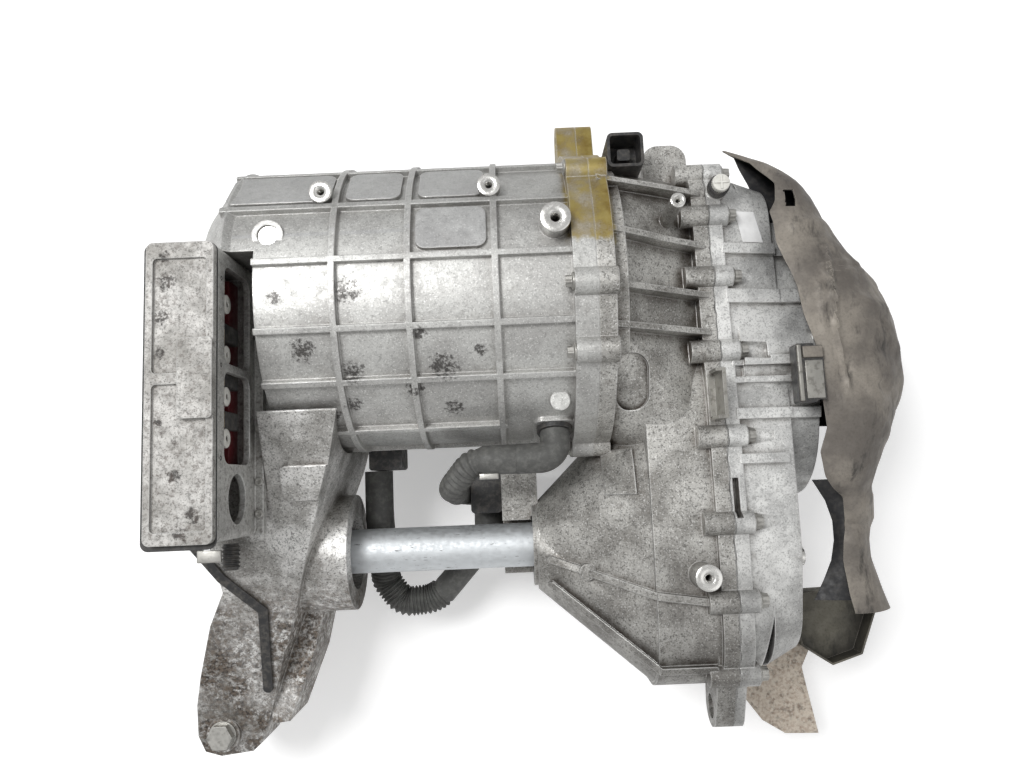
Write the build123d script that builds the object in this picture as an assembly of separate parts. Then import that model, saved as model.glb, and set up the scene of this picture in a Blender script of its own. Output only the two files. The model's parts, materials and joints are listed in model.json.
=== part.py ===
from build123d import *
import math
import os

# Electric drive unit of a passenger car: a liquid-cooled motor in a ribbed die-cast
# housing, a two-stage reduction gear beside it, a differential, and an intermediate
# shaft that carries the drive back under the motor to the far wheel.
# Sizes are in millimetres. X runs along every shaft, towards the gearbox cover.
# Y runs across the shafts and Z is up. The origin is where the output axis
# crosses the gearbox's parting plane.

# Clearances
SEAT = 0.2
RUN = 0.05
SHELL_GAP = 0.3

# Motor axis, seen along X
MOTOR_Y = 217.0
MOTOR_Z = 35.0

# Ground plane of the cast feet
FLOOR_Z = -130.0

# Motor housing
HOUSING_R = 122.0
RIB_HEIGHT = 5.0
RIB_WIDTH = 5.0
JOINT_X = -105.0
JOINT_THICK = 18.0
JOINT_R = HOUSING_R + 9.0
SHELL_LEFT = -368.0
SHELL_WALL = 8.0
DOME_LEFT = -430.0
STATOR_R = HOUSING_R - 14.0
STATOR_BORE = 76.0
AIR_GAP = 0.7
STACK_LEFT = -336.0
STACK_RIGHT = -150.0
WINDING_REACH = 22.0
LONG_RIB_ANGLES = (33.0, 60.0, 83.0, 107.4, 127.5, 190.0, 228.0, 266.0, 304.0, 345.0)
PORT_RIB_ANGLE = 153.3
PORT_RIB_END = -178.0
RING_RIB_X = (-307.0, -249.0, -182.0)
JOINT_BOLT_ANGLES = (47.0, 95.0, 118.0, 173.5, 215.0, 250.0, 285.0, 325.0)
LUG_Y = 372.0
LUG_R = 14.0
LUG_HOLE_R = 5.5

# Terminal box on the motor's front left
BOX_LEFT = -434.0
BOX_RIGHT = -385.0
BOX_LOW = 24.0
BOX_HIGH = 241.0
BOX_FLOOR = 92.0
BOX_RIM = 181.0
BOX_WALL = 5.0
GASKET = 3.0
LID_THICK = 6.0
RIM_STEP = 7.0
INLET_Y = 54.0
INLET_Z = 140.0
INLET_R = 19.0
WINDOW_LOW = 112.0
WINDOW_HIGH = 168.0
WINDOWS_Y = ((80.0, 149.0), (155.0, 229.0))
PHASE_Y = (100.0, 132.0, 164.0, 204.0)

# Reduction gears
PRESSURE = math.radians(20.0)
BACKLASH = 0.25
FIRST_MODULE = 2.5
FIRST_PINION = 23
FIRST_GEAR = 65
FINAL_MODULE = 3.0
FINAL_PINION = 19
FINAL_GEAR = 56
FIRST_X = 6.0
FIRST_WIDTH = 24.0
FINAL_X = -54.0
FINAL_WIDTH = 34.0
RING_BORE = 62.0

# Shafts and bearings
ROTOR_SHAFT_R = 24.0
COUNTER_R = 17.0
TUBE_R = 20.0
SPLINE_R = 13.0
OUTPUT_BORE_R = 14.0
OUTPUT_BORE_DEPTH = 40.0
TUBE_LEFT = -420.0
TRUNNION_R = 26.0

# Differential
DIFF_X = -28.0
CASE_R = 46.0
CASE_HALF = 29.0
CASE_CAVITY = 35.5
SIDE_TEETH = 16
SPIDER_TEETH = 10
BEVEL_MODULE = 3.5
BEVEL_FACE = 0.38
HUB_R = 18.0
PIN_R = 7.0
RING_BOLTS = 8
RING_BOLT_CIRCLE = 68.0

# Gearbox castings: (y, z, radius) of the circles that the parting flange wraps
TOP_FRONT = (288.0, 44.0, 47.0)
TOP_BACK = (262.0, -15.0, 47.0)
MIDDLE = (112.5, 0.7, 98.0)
OUTPUT = (0.0, 0.0, 101.0)
LOW_FRONT = (-64.0, 38.0, 60.0)
LOW_BACK = (-64.0, -38.0, 60.0)
FLANGE_LIP = 5.0
BELL_INSET = 14.0
BELL_RIGHT = -12.0
FLANGE_THICK = 13.0
CASE_WALL = 6.5
BELL_FOOT_R = HOUSING_R - 8.0
BELL_COLLAR_R = HOUSING_R - 4.0
CONE_FOOT_R = 35.0
CONE_LEFT = -156.0
RIDGE_X = -64.0
COVER_X = 62.0
DOME_X = 86.0
FLANGE_BOLT_Y_FRONT = (318.0, 277.0, 223.0, 159.0, 88.0, 18.0, -44.0, -104.0)
FLANGE_BOLT_Y_BACK = (262.0, 190.0, 118.0, 44.0, -34.0, -92.0)
FLANGE_BOSS_R = 9.5
TAB_BASE_Z = 99.5
EYE_Y = -137.0
EYE_Z = 46.0
EYE_R = 17.0
EYE_BORE_R = 10.0
PLUG_Z = 44.0

# Support arm with the shaft's outer bearing
ARM_FACE_Z = 65.0
ARM_SLOPE = 0.45
ARM_BASE_Z = -60.0
ARM_BOSS_R = 52.0
ARM_BOSS_LEFT = -372.0
ARM_BOSS_RIGHT = -322.0
SUPPORT_BEARING_X = -352.0

# Hoses
UPPER_HOSE_R = 11.0
LOWER_HOSE_R = 14.0
ELBOW_R = 12.5
HOSE_X = -139.0
ELBOW_X = -306.0
NECK_LEFT = -187.0
UNION_LEFT = -216.0
UNION_LOW = 30.0
PORT_ANGLE = 167.0
PORT_BOLT_ANGLE = 156.0

# Heat shield and rear foot
SHIELD_THICK = 1.6
FOOT_TOP_Z = -52.0
CUP_DEPTH = 20.0
CUP_OUTLINE = ((80.0, -58.0), (166.0, -56.0), (168.0, -72.0), (149.0, -118.0), (120.0, -127.0), (92.0, -108.0))
SHIELD_SEAT_Z = 96.5
SHIELD_SEATS = ((82.0, 232.0, 100.4), (90.0, 172.0, 106.0))


def yz(x):
    """Return the section plane across the shafts at X = x."""
    return Plane.YZ.offset(x)


def rod(x0, x1, radius, y=0.0, z=0.0):
    """Return a round bar along X."""
    return extrude(yz(x0) * Pos(y, z) * Circle(radius), x1 - x0)


def post(x, y, z0, z1, radius):
    """Return a round bar along Z."""
    return Pos(x, y, (z0 + z1) / 2) * Cylinder(radius, z1 - z0)


def block(x0, x1, y0, y1, z0, z1):
    """Return a box between two corners."""
    centre = Pos((x0 + x1) / 2, (y0 + y1) / 2, (z0 + z1) / 2)
    return centre * Box(x1 - x0, y1 - y0, z1 - z0)


def turned(profile, y=0.0, z=0.0):
    """Return the (x, radius) profile turned about an axis along X."""
    face = make_face(Polyline(*profile, close=True))
    return Pos(0, y, z) * revolve(face, Axis.X, 360)


def ring(x0, x1, inner, outer, y=0.0, z=0.0):
    """Return a plain ring along X."""
    return rod(x0, x1, outer, y, z) - rod(x0, x1, inner, y, z)


def hull_of(circles, grow=0.0):
    """Return the face that wraps a list of (y, z, radius) circles."""
    rims = [Edge.make_circle(r + grow, Plane(origin=(y, z, 0))) for y, z, r in circles]
    return make_hull(rims)


def hull_bar(x0, x1, circles, grow=0.0):
    """Return the wrapped outline as a bar along X."""
    return extrude(yz(x0) * hull_of(circles, grow), x1 - x0)


def loft_between(x0, start, x1, end):
    """Return a straight loft along X between two wrapped outlines."""
    return loft([yz(x0) * hull_of(start), yz(x1) * hull_of(end)], ruled=True)


def drawn_in(circles, y, z, radius, keep=0.08):
    """Return the circles pulled in to one place, so that a loft keeps their order."""
    return [(y + keep * (cy - y), z + keep * (cz - z), radius) for cy, cz, _ in circles]


def resized(circles, grow):
    """Return the circles with another radius each."""
    return [(y, z, r + grow) for y, z, r in circles]


def around_motor(angle, radius):
    """Return (y, z) at an angle from +Y towards +Z about the motor axis."""
    turn = math.radians(angle)
    return MOTOR_Y + radius * math.cos(turn), MOTOR_Z + radius * math.sin(turn)


def tangent_plane(x, angle, radius):
    """Return a plane that lies on the motor's wall, facing outwards."""
    turn = math.radians(angle)
    y, z = around_motor(angle, radius)
    return Plane(origin=(x, y, z), x_dir=(1, 0, 0), z_dir=(0, math.cos(turn), math.sin(turn)))


def hex_head(across, height):
    """Return a flanged hex head that stands on the XY plane."""
    flange = Pos(0, 0, height * 0.12) * Cylinder(across * 0.62, height * 0.24)
    grip = extrude(RegularPolygon(across / 2, 6, major_radius=False), height)
    return flange + grip


def head_along_x(x, y, z, across, height, sign=1):
    """Return a hex head that stands on a face across X."""
    plane = Plane(origin=(x, y, z), z_dir=(sign, 0, 0))
    return plane * hex_head(across, height)


# Places worked out from the sizes above

def counter_axis():
    """Return the counter shaft's (y, z), at both centre distances."""
    first = FIRST_MODULE * (FIRST_PINION + FIRST_GEAR) / 2
    final = FINAL_MODULE * (FINAL_PINION + FINAL_GEAR) / 2
    span = math.hypot(MOTOR_Y, MOTOR_Z)
    along = (final ** 2 - first ** 2 + span ** 2) / (2 * span)
    aside = math.sqrt(final ** 2 - along ** 2)
    uy, uz = MOTOR_Y / span, MOTOR_Z / span
    return along * uy + aside * uz, along * uz - aside * uy


COUNTER_Y, COUNTER_Z = counter_axis()
RIB_R = HOUSING_R + RIB_HEIGHT
OUTLINE = [TOP_FRONT, TOP_BACK, MIDDLE, OUTPUT, LOW_FRONT, LOW_BACK]
LOWER_OUTLINE = [MIDDLE, OUTPUT, LOW_FRONT, LOW_BACK]
BELL_CIRCLES = [TOP_FRONT, TOP_BACK, MIDDLE]
CONE_CIRCLES = [(36.0, 0.0, 92.0), (-64.0, 38.0, 52.0), (-64.0, -38.0, 52.0)]
COVER_END = [(276.0, 38.0, 42.0), (256.0, -12.0, 42.0), (112.5, 0.7, 92.0), (0.0, 0.0, 93.0),
             (-50.0, 32.0, 50.0), (-50.0, -32.0, 50.0)]
COVER_DOME = [(250.0, 22.0, 44.0), (MIDDLE[0], MIDDLE[1], 76.0), (150.0, 14.0, 74.0)]


def rim_height(y, side):
    """Return the flange outline's Z at a Y, in front (1) or behind (-1)."""
    reach = 200.0
    cut = Line((y, 0), (y, side * reach)) & hull_of(OUTLINE)
    return max((abs(v.Y), v.Y) for v in cut.vertices())[1]


def flange_bolts_at():
    """Return the (y, z) of every bolt in the parting flange."""
    inset = 2.0
    front = [(y, rim_height(y, 1) - inset) for y in FLANGE_BOLT_Y_FRONT]
    back = [(y, rim_height(y, -1) + inset) for y in FLANGE_BOLT_Y_BACK]
    return front + back


# Gears

def roll_off(base, radius):
    """Return the involute's angle between its base circle and a radius."""
    if radius <= base:
        return 0.0
    slope = math.sqrt((radius / base) ** 2 - 1)
    return slope - math.atan(slope)


def gear_outline(module, teeth, phase, steps):
    """Return a gear face with chords of true involute flanks."""
    pitch = module * teeth / 2
    base = pitch * math.cos(PRESSURE)
    root, tip = pitch - 1.25 * module, pitch + 0.95 * module
    half_pitch = (math.pi * module / 2 - BACKLASH) / (2 * pitch)
    radii = [root + (tip - root) * i / (steps - 1) for i in range(steps)]
    halves = [half_pitch + roll_off(base, pitch) - roll_off(base, r) for r in radii]
    flank = list(zip(radii, halves))
    points = []
    for tooth in range(teeth):
        middle = phase + 2 * math.pi * tooth / teeth
        points += [(r * math.cos(middle - h), r * math.sin(middle - h)) for r, h in flank]
        points += [(r * math.cos(middle + h), r * math.sin(middle + h)) for r, h in reversed(flank)]
    return make_face(Polyline(*points, close=True))


def spur_gear(x, width, module, teeth, phase, steps, y=0.0, z=0.0):
    """Return a solid spur gear from X = x."""
    return extrude(yz(x) * Pos(y, z) * gear_outline(module, teeth, phase, steps), width)


def bevel_section(teeth, pitch, scale):
    """Return a straight bevel gear's section, drawn in towards the apex."""
    tip, root = pitch + 0.7 * BEVEL_MODULE, pitch - 1.15 * BEVEL_MODULE
    share = math.pi / (2 * teeth)
    corners = [(root, 1.15 * share), (tip, 0.42 * share)]
    points = []
    for tooth in range(teeth):
        middle = 2 * math.pi * tooth / teeth
        points += [(r, middle - h) for r, h in corners]
        points += [(r, middle + h) for r, h in reversed(corners)]
    flat = [(scale * r * math.cos(a), scale * r * math.sin(a)) for r, a in points]
    return make_face(Polyline(*flat, close=True))


def bevel_gear(teeth, mate_teeth, turn, hub_radius, hub_reach, bore):
    """Return a bevel gear on +X with its apex at the origin."""
    pitch = BEVEL_MODULE * teeth / 2
    back = BEVEL_MODULE * mate_teeth / 2
    front = back * (1 - BEVEL_FACE)
    small = yz(front) * Rot(0, 0, turn) * bevel_section(teeth, pitch, 1 - BEVEL_FACE)
    large = yz(back) * Rot(0, 0, turn) * bevel_section(teeth, pitch, 1)
    body = loft([small, large], ruled=True)
    body += rod(back, back + hub_reach, hub_radius)
    return body - rod(front, back + hub_reach, bore)


# Bearings

def inner_race(x, width, bore, outer, y=0.0, z=0.0):
    """Return an inner ring with its row of balls as one bulged ring."""
    land = bore + (outer - bore) * 0.3
    crown = bore + (outer - bore) * 0.68
    quarter = width / 4
    profile = [(x, bore), (x + width, bore), (x + width, land), (x + 3 * quarter, land)]
    profile += [(x + 2.5 * quarter, crown), (x + 1.5 * quarter, crown), (x + quarter, land), (x, land)]
    return turned(profile, y, z)


def outer_race(x, width, bore, outer, y=0.0, z=0.0):
    """Return the outer ring that runs round the row of balls."""
    land = bore + (outer - bore) * 0.76
    return ring(x, x + width, land, outer, y, z)


# Each bearing: name, x, width, bore radius, outer radius, y, z
ROTOR_BEARINGS = (
    (-424.0, 14.0, 17.5, 36.0, MOTOR_Y, MOTOR_Z),
    (-92.0, 16.0, 22.0, 40.0, MOTOR_Y, MOTOR_Z),
    (38.0, 14.0, 18.0, 36.0, MOTOR_Y, MOTOR_Z),
)
COUNTER_BEARINGS = (
    (-84.0, 16.0, COUNTER_R, 36.0, COUNTER_Y, COUNTER_Z),
    (36.0, 16.0, COUNTER_R, 36.0, COUNTER_Y, COUNTER_Z),
)
DIFF_BEARINGS = (
    (-84.0, 18.0, TRUNNION_R, 42.0, 0.0, 0.0),
    (34.0, 16.0, 24.0, 38.0, 0.0, 0.0),
)
SUPPORT_BEARINGS = ((SUPPORT_BEARING_X, 18.0, TUBE_R, 36.0, 0.0, 0.0),)


def inner_races(bearings):
    """Return the inner rings of a list of bearings as a group."""
    grown = [inner_race(x, w, bore + RUN, outer, y, z) for x, w, bore, outer, y, z in bearings]
    return Compound(children=grown)


def outer_races():
    """Return every outer ring as a group."""
    everything = ROTOR_BEARINGS + COUNTER_BEARINGS + DIFF_BEARINGS + SUPPORT_BEARINGS
    grown = [outer_race(x, w, bore, outer - RUN, y, z) for x, w, bore, outer, y, z in everything]
    return Compound(children=grown)


# Motor

def housing_pads():
    """Return the smooth raised panels between the motor's ribs."""
    panels = ((-396.0, -312.0, 46.5, 46.0), (-300.0, -256.0, 46.5, 46.0), (-242.0, -190.0, 46.5, 46.0),
              (-243.0, -188.0, 71.5, 38.0))
    pads = []
    for x0, x1, angle, across in panels:
        face = tangent_plane((x0 + x1) / 2, angle, HOUSING_R - 5)
        pads.append(extrude(face * RectangleRounded(x1 - x0, across, 8), 7.2))
    return pads


def box_notch(grow=0.0):
    """Return the room that the terminal box takes out of the motor's end."""
    return block(DOME_LEFT - 40, SHELL_LEFT, BOX_LOW - 60, BOX_HIGH + 2 + grow, BOX_FLOOR, BOX_RIM + 40)


def joint_lugs(x0, x1):
    """Return the bolt lugs and the lifting lug round the motor joint."""
    lugs = [rod(x0, x1, 10.5, *around_motor(a, JOINT_R - 1)) for a in JOINT_BOLT_ANGLES]
    lugs.append(hull_bar(x0, x1, [(LUG_Y, MOTOR_Z, LUG_R), (320.0, MOTOR_Z, 24.0)]))
    return lugs


def motor_bore():
    """Return the hollow inside the motor housing."""
    x = SHELL_LEFT + SHELL_WALL
    profile = [(DOME_LEFT - 1, 0), (DOME_LEFT - 1, 36), (-408, 36), (-408, 25), (-400, 25), (-400, 48)]
    profile += [(x, 48), (x, STATOR_R + RUN), (JOINT_X + 1, STATOR_R + RUN), (JOINT_X + 1, 0)]
    return turned(profile, MOTOR_Y, MOTOR_Z)


def long_rib(angle, x1):
    """Return a rib along the motor's wall, up to X = x1."""
    x0, root = SHELL_LEFT - 30, 3.0
    face = tangent_plane((x0 + x1) / 2, angle, HOUSING_R - root)
    return extrude(face * Rectangle(x1 - x0, RIB_WIDTH), RIB_HEIGHT + root)


def motor_housing():
    """Return the ribbed motor casting."""
    outer = [(DOME_LEFT, 0), (DOME_LEFT, HOUSING_R - 46), (DOME_LEFT + 12, HOUSING_R - 24)]
    outer += [(DOME_LEFT + 28, HOUSING_R - 6), (-392, RIB_R)]
    outer += [(-386, HOUSING_R), (JOINT_X - JOINT_THICK, HOUSING_R), (JOINT_X - JOINT_THICK, JOINT_R)]
    outer += [(JOINT_X, JOINT_R), (JOINT_X, 0)]
    body = turned(outer, MOTOR_Y, MOTOR_Z)
    extras = housing_pads() + joint_lugs(JOINT_X - JOINT_THICK, JOINT_X)
    for x in RING_RIB_X:
        extras.append(ring(x - RIB_WIDTH / 2, x + RIB_WIDTH / 2, HOUSING_R - 3, RIB_R, MOTOR_Y, MOTOR_Z))
    extras += [long_rib(angle, JOINT_X - JOINT_THICK / 2) for angle in LONG_RIB_ANGLES]
    extras.append(long_rib(PORT_RIB_ANGLE, PORT_RIB_END))
    extras += [post(-318, 292, 90, 145, 9.0), post(-185, 292, 90, 145, 9.0), post(-135, 255, 110, 170, 11.6)]
    extras += [post(-358, 256, 110, 152, 12.3), post(-135, 121, 90, 118, 8)]
    extras += [post(-330, 150, FLOOR_Z, -60, 17), post(-330, 284, FLOOR_Z, -50, 17)]
    pad_face = tangent_plane(HOSE_X, (PORT_ANGLE + PORT_BOLT_ANGLE) / 2, HOUSING_R - 8)
    extras.append(extrude(pad_face * RectangleRounded(34, 46, 8), 10))
    body = body + extras
    cuts = [motor_bore(), box_notch(), post(-318, 292, 125, 146, 3.4), post(-185, 292, 125, 146, 3.4)]
    cuts += [post(-135, 255, 145, 171, 4.3), post(-358, 256, 146, 153, 8.0)]
    cuts.append(rod(JOINT_X - JOINT_THICK - 1, JOINT_X + 1, LUG_HOLE_R, LUG_Y, MOTOR_Z))
    return body - cuts


def motor_end_cap():
    """Return the round cap over the motor's left bearing."""
    face, step = DOME_LEFT - 8, DOME_LEFT - 5
    profile = [(face, 0), (face, 36), (step, 42), (step, 52), (DOME_LEFT, 54), (DOME_LEFT, 0)]
    return turned(profile, MOTOR_Y, MOTOR_Z)


def core_plug():
    """Return the pressed disc in the housing's cast opening."""
    return post(-358, 256, 146, 150, 8.0 - RUN)


def stator_core():
    """Return the laminated stator ring."""
    return ring(STACK_LEFT, STACK_RIGHT, STATOR_BORE, STATOR_R, MOTOR_Y, MOTOR_Z)


def stator_windings():
    """Return both end windings as a group."""
    heads = []
    for x0, x1 in ((STACK_LEFT - WINDING_REACH, STACK_LEFT), (STACK_RIGHT, STACK_RIGHT + WINDING_REACH)):
        lift = 5.0
        profile = [(x0, 84), (x0, 98), (x0 + lift, 103), (x1 - lift, 103), (x1, 98), (x1, 84)]
        profile += [(x1 - lift, 79), (x0 + lift, 79)]
        heads.append(turned(profile, MOTOR_Y, MOTOR_Z))
    return Compound(children=heads)


def rotor_core():
    """Return the rotor stack with its magnet pockets and end plates."""
    radius = STATOR_BORE - AIR_GAP
    core = rod(STACK_LEFT, STACK_RIGHT, radius, MOTOR_Y, MOTOR_Z)
    return core - rod(STACK_LEFT, STACK_RIGHT, ROTOR_SHAFT_R + RUN, MOTOR_Y, MOTOR_Z)


def rotor_end_plates():
    """Return the balancing plates at both ends of the rotor stack."""
    plates = []
    for x in (STACK_LEFT - 6, STACK_RIGHT):
        plates.append(ring(x, x + 6, ROTOR_SHAFT_R + RUN, 66, MOTOR_Y, MOTOR_Z))
    return Compound(children=plates)


def rotor_shaft():
    """Return the rotor shaft with the input pinion cut on it."""
    profile = [(-428, 0), (-428, 17.5), (-406, 17.5), (-406, ROTOR_SHAFT_R), (-128, ROTOR_SHAFT_R)]
    profile += [(-128, 22), (-70, 22), (-70, 18), (51.5, 18), (51.5, 0)]
    shaft = turned(profile, MOTOR_Y, MOTOR_Z)
    toward = math.atan2(COUNTER_Z - MOTOR_Z, COUNTER_Y - MOTOR_Y)
    width = FIRST_WIDTH + 4
    pinion = spur_gear(FIRST_X - 2, width, FIRST_MODULE, FIRST_PINION, toward, 3, MOTOR_Y, MOTOR_Z)
    return shaft + pinion


def resolver_rotor():
    """Return the lobed ring that reports the rotor's angle."""
    lobes = [rod(-398, -390, 27.5, MOTOR_Y + 3 * math.cos(a), MOTOR_Z + 3 * math.sin(a))
             for a in (0.0, math.pi / 2, math.pi, 3 * math.pi / 2)]
    return lobes[0] + lobes[1:] - rod(-398, -390, ROTOR_SHAFT_R + RUN, MOTOR_Y, MOTOR_Z)


def resolver_stator():
    """Return the fixed ring round the resolver rotor."""
    return ring(-399, -388, 31.5, 48 - RUN, MOTOR_Y, MOTOR_Z)


# Terminal box

def rounded_block(x0, x1, y0, y1, z0, z1, corner):
    """Return a box whose upright edges are rounded."""
    face = Pos((x0 + x1) / 2, (y0 + y1) / 2, z0) * RectangleRounded(x1 - x0, y1 - y0, corner)
    return extrude(face, z1 - z0)


def terminal_box():
    """Return the box casting with its side windows and cable inlet."""
    body = rounded_block(BOX_LEFT, BOX_RIGHT, BOX_LOW, BOX_HIGH, BOX_FLOOR, BOX_RIM, 5)
    body += block(BOX_RIGHT - 2, BOX_RIGHT + RIM_STEP, BOX_LOW, BOX_HIGH - 6, BOX_FLOOR, BOX_FLOOR + 8)
    inside = rounded_block(BOX_LEFT + BOX_WALL, BOX_RIGHT - BOX_WALL, BOX_LOW + BOX_WALL,
                           BOX_HIGH - BOX_WALL, BOX_FLOOR + BOX_WALL, BOX_RIM + 1, 3)
    cuts = [inside]
    for y0, y1 in WINDOWS_Y:
        face = Plane(origin=(BOX_RIGHT - BOX_WALL - 1, (y0 + y1) / 2, (WINDOW_LOW + WINDOW_HIGH) / 2),
                     x_dir=(0, 1, 0), z_dir=(1, 0, 0))
        cuts.append(extrude(face * RectangleRounded(y1 - y0, WINDOW_HIGH - WINDOW_LOW, 9), BOX_WALL + 2))
    cuts.append(rod(BOX_RIGHT - BOX_WALL - 1, BOX_RIGHT + 1, INLET_R, INLET_Y, INLET_Z))
    return body - cuts


def terminal_box_gasket():
    """Return the black gasket between box and lid."""
    edge = 4.0
    face = rounded_block(BOX_LEFT - edge, BOX_RIGHT, BOX_LOW - edge, BOX_HIGH + 1, BOX_RIM, BOX_RIM + GASKET, 6)
    hole = rounded_block(BOX_LEFT + BOX_WALL, BOX_RIGHT - BOX_WALL, BOX_LOW + BOX_WALL,
                         BOX_HIGH - BOX_WALL, BOX_RIM, BOX_RIM + GASKET, 3)
    return face - hole


def terminal_box_lid():
    """Return the lid with its sunk panels and raised pad."""
    z0 = BOX_RIM + GASKET
    lid = rounded_block(BOX_LEFT, BOX_RIGHT, BOX_LOW, BOX_HIGH, z0, z0 + LID_THICK, 5)
    lid += rounded_block(BOX_LEFT + 24, BOX_RIGHT, 112, 170, z0 + 1, z0 + LID_THICK + 2.5, 3)
    split = 141.0
    sink = z0 + LID_THICK - 2.5
    cuts = [rounded_block(BOX_LEFT + 5, BOX_RIGHT - 5, split + 4, BOX_HIGH - 12, sink, z0 + 9, 3),
            rounded_block(BOX_LEFT + 5, BOX_RIGHT - 5, BOX_LOW + 9, split - 4, sink, z0 + 9, 3)]
    pad = rounded_block(BOX_LEFT + 24, BOX_RIGHT, 112, 170, z0 + 1, z0 + LID_THICK + 2.5, 3)
    return lid - cuts + pad


def terminal_block():
    """Return the insulating block that carries the phase terminals."""
    floor = BOX_FLOOR + BOX_WALL
    base = block(BOX_LEFT + BOX_WALL + 2, -400, 72, 230, floor, floor + 20)
    towers = [block(BOX_LEFT + BOX_WALL + 2, -408, y - 10, y + 10, floor + 18, 156) for y in PHASE_Y]
    return base + towers


def phase_terminals():
    """Return the phase lugs with their round ends as a group."""
    lugs = []
    for y in PHASE_Y:
        tongue = block(-408, -396, y - 7, y + 7, 143, 147)
        lugs.append(tongue + rod(-408, -392, 6.5, y, 145))
    return Compound(children=lugs)


# Gearbox castings

def bell_form(grow, x1=BELL_RIGHT):
    """Return the bell between the motor joint and the parting flange, grown by a skin."""
    wall = resized(BELL_CIRCLES, grow - BELL_INSET)
    foot = drawn_in(BELL_CIRCLES, MOTOR_Y, MOTOR_Z, BELL_FOOT_R + grow)
    return loft_between(JOINT_X + 5, foot, x1, wall)


def cone_form(grow):
    """Return the cone between the shaft's neck and the ring gear's bulge."""
    end = resized(CONE_CIRCLES, grow)
    foot = drawn_in(CONE_CIRCLES, 0, 0, CONE_FOOT_R + grow)
    return loft_between(CONE_LEFT, foot, RIDGE_X, end)


def prism(points, z0, z1):
    """Return an outline in the XY plane as an upright prism."""
    return extrude(Pos(0, 0, z0) * make_face(Polyline(*points, close=True)), z1 - z0)


def wall_along(points, width, z0, z1):
    """Return an upright wall of even width along a line of (x, y) points."""
    pieces = []
    for a, b in zip(points, points[1:]):
        run = make_hull([Edge.make_circle(width / 2, Plane(origin=(x, y, 0))) for x, y in (a, b)])
        pieces.append(extrude(Pos(0, 0, z0) * run, z1 - z0))
    return pieces[0] + pieces[1:] if len(pieces) > 1 else pieces[0]


def bell_ribs():
    """Return the ribs that run along the bell from joint to flange."""
    ribs = []
    for y in (297.0, 250.0, 207.0, 175.0):
        slab = block(JOINT_X + 6, -4, y - 2.5, y + 2.5, 30, 190)
        ribs.append(slab & bell_form(15, -5))
    for y in (290.0, 217.0, 150.0):
        slab = block(JOINT_X + 6, -4, y - 3, y + 3, -120, -20)
        ribs.append(slab & bell_form(12, -5))
    return ribs


def cone_ribs():
    """Return the two bent ribs on the cone and the raised strip between them."""
    upper = wall_along([(-146, -10), (-116, -20), (-66, -37), (-20, -44)], 6, 0, 130)
    lower = wall_along([(-146, -32), (-63, -98), (-20, -98)], 6, 0, 130)
    grown = cone_form(7) + hull_bar(RIDGE_X, -6, resized(LOWER_OUTLINE, 2))
    strip = block(-98, -74, 44, 82, 20, 130) & cone_form(3)
    stub = post(-116, -20, 20, 66, 7)
    return [upper & grown, lower & grown, strip, stub]


def flange_bosses(x0, x1):
    """Return the bolt bosses along the parting flange."""
    return [rod(x0, x1, FLANGE_BOSS_R, y, z) for y, z in flange_bolts_at()]


def eye_lug(x0, x1):
    """Return the lower eye lug between two X planes."""
    return hull_bar(x0, x1, [(EYE_Y, EYE_Z, EYE_R), (-84.0, 62.0, 26.0)])


def gear_room():
    """Return the hollow that the gears turn in, on the housing's side."""
    lower = hull_bar(RIDGE_X + 8, 1, resized(LOWER_OUTLINE, -FLANGE_LIP - CASE_WALL))
    upper = bell_form(-CASE_WALL) & block(-80, 1, 60, 400, -150, 200)
    mouth = hull_bar(BELL_RIGHT - 1, 1, resized(BELL_CIRCLES, -BELL_INSET - CASE_WALL))
    flange = rod(-70, RIDGE_X + 9, 80)
    return [lower, upper, mouth, flange]


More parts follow.
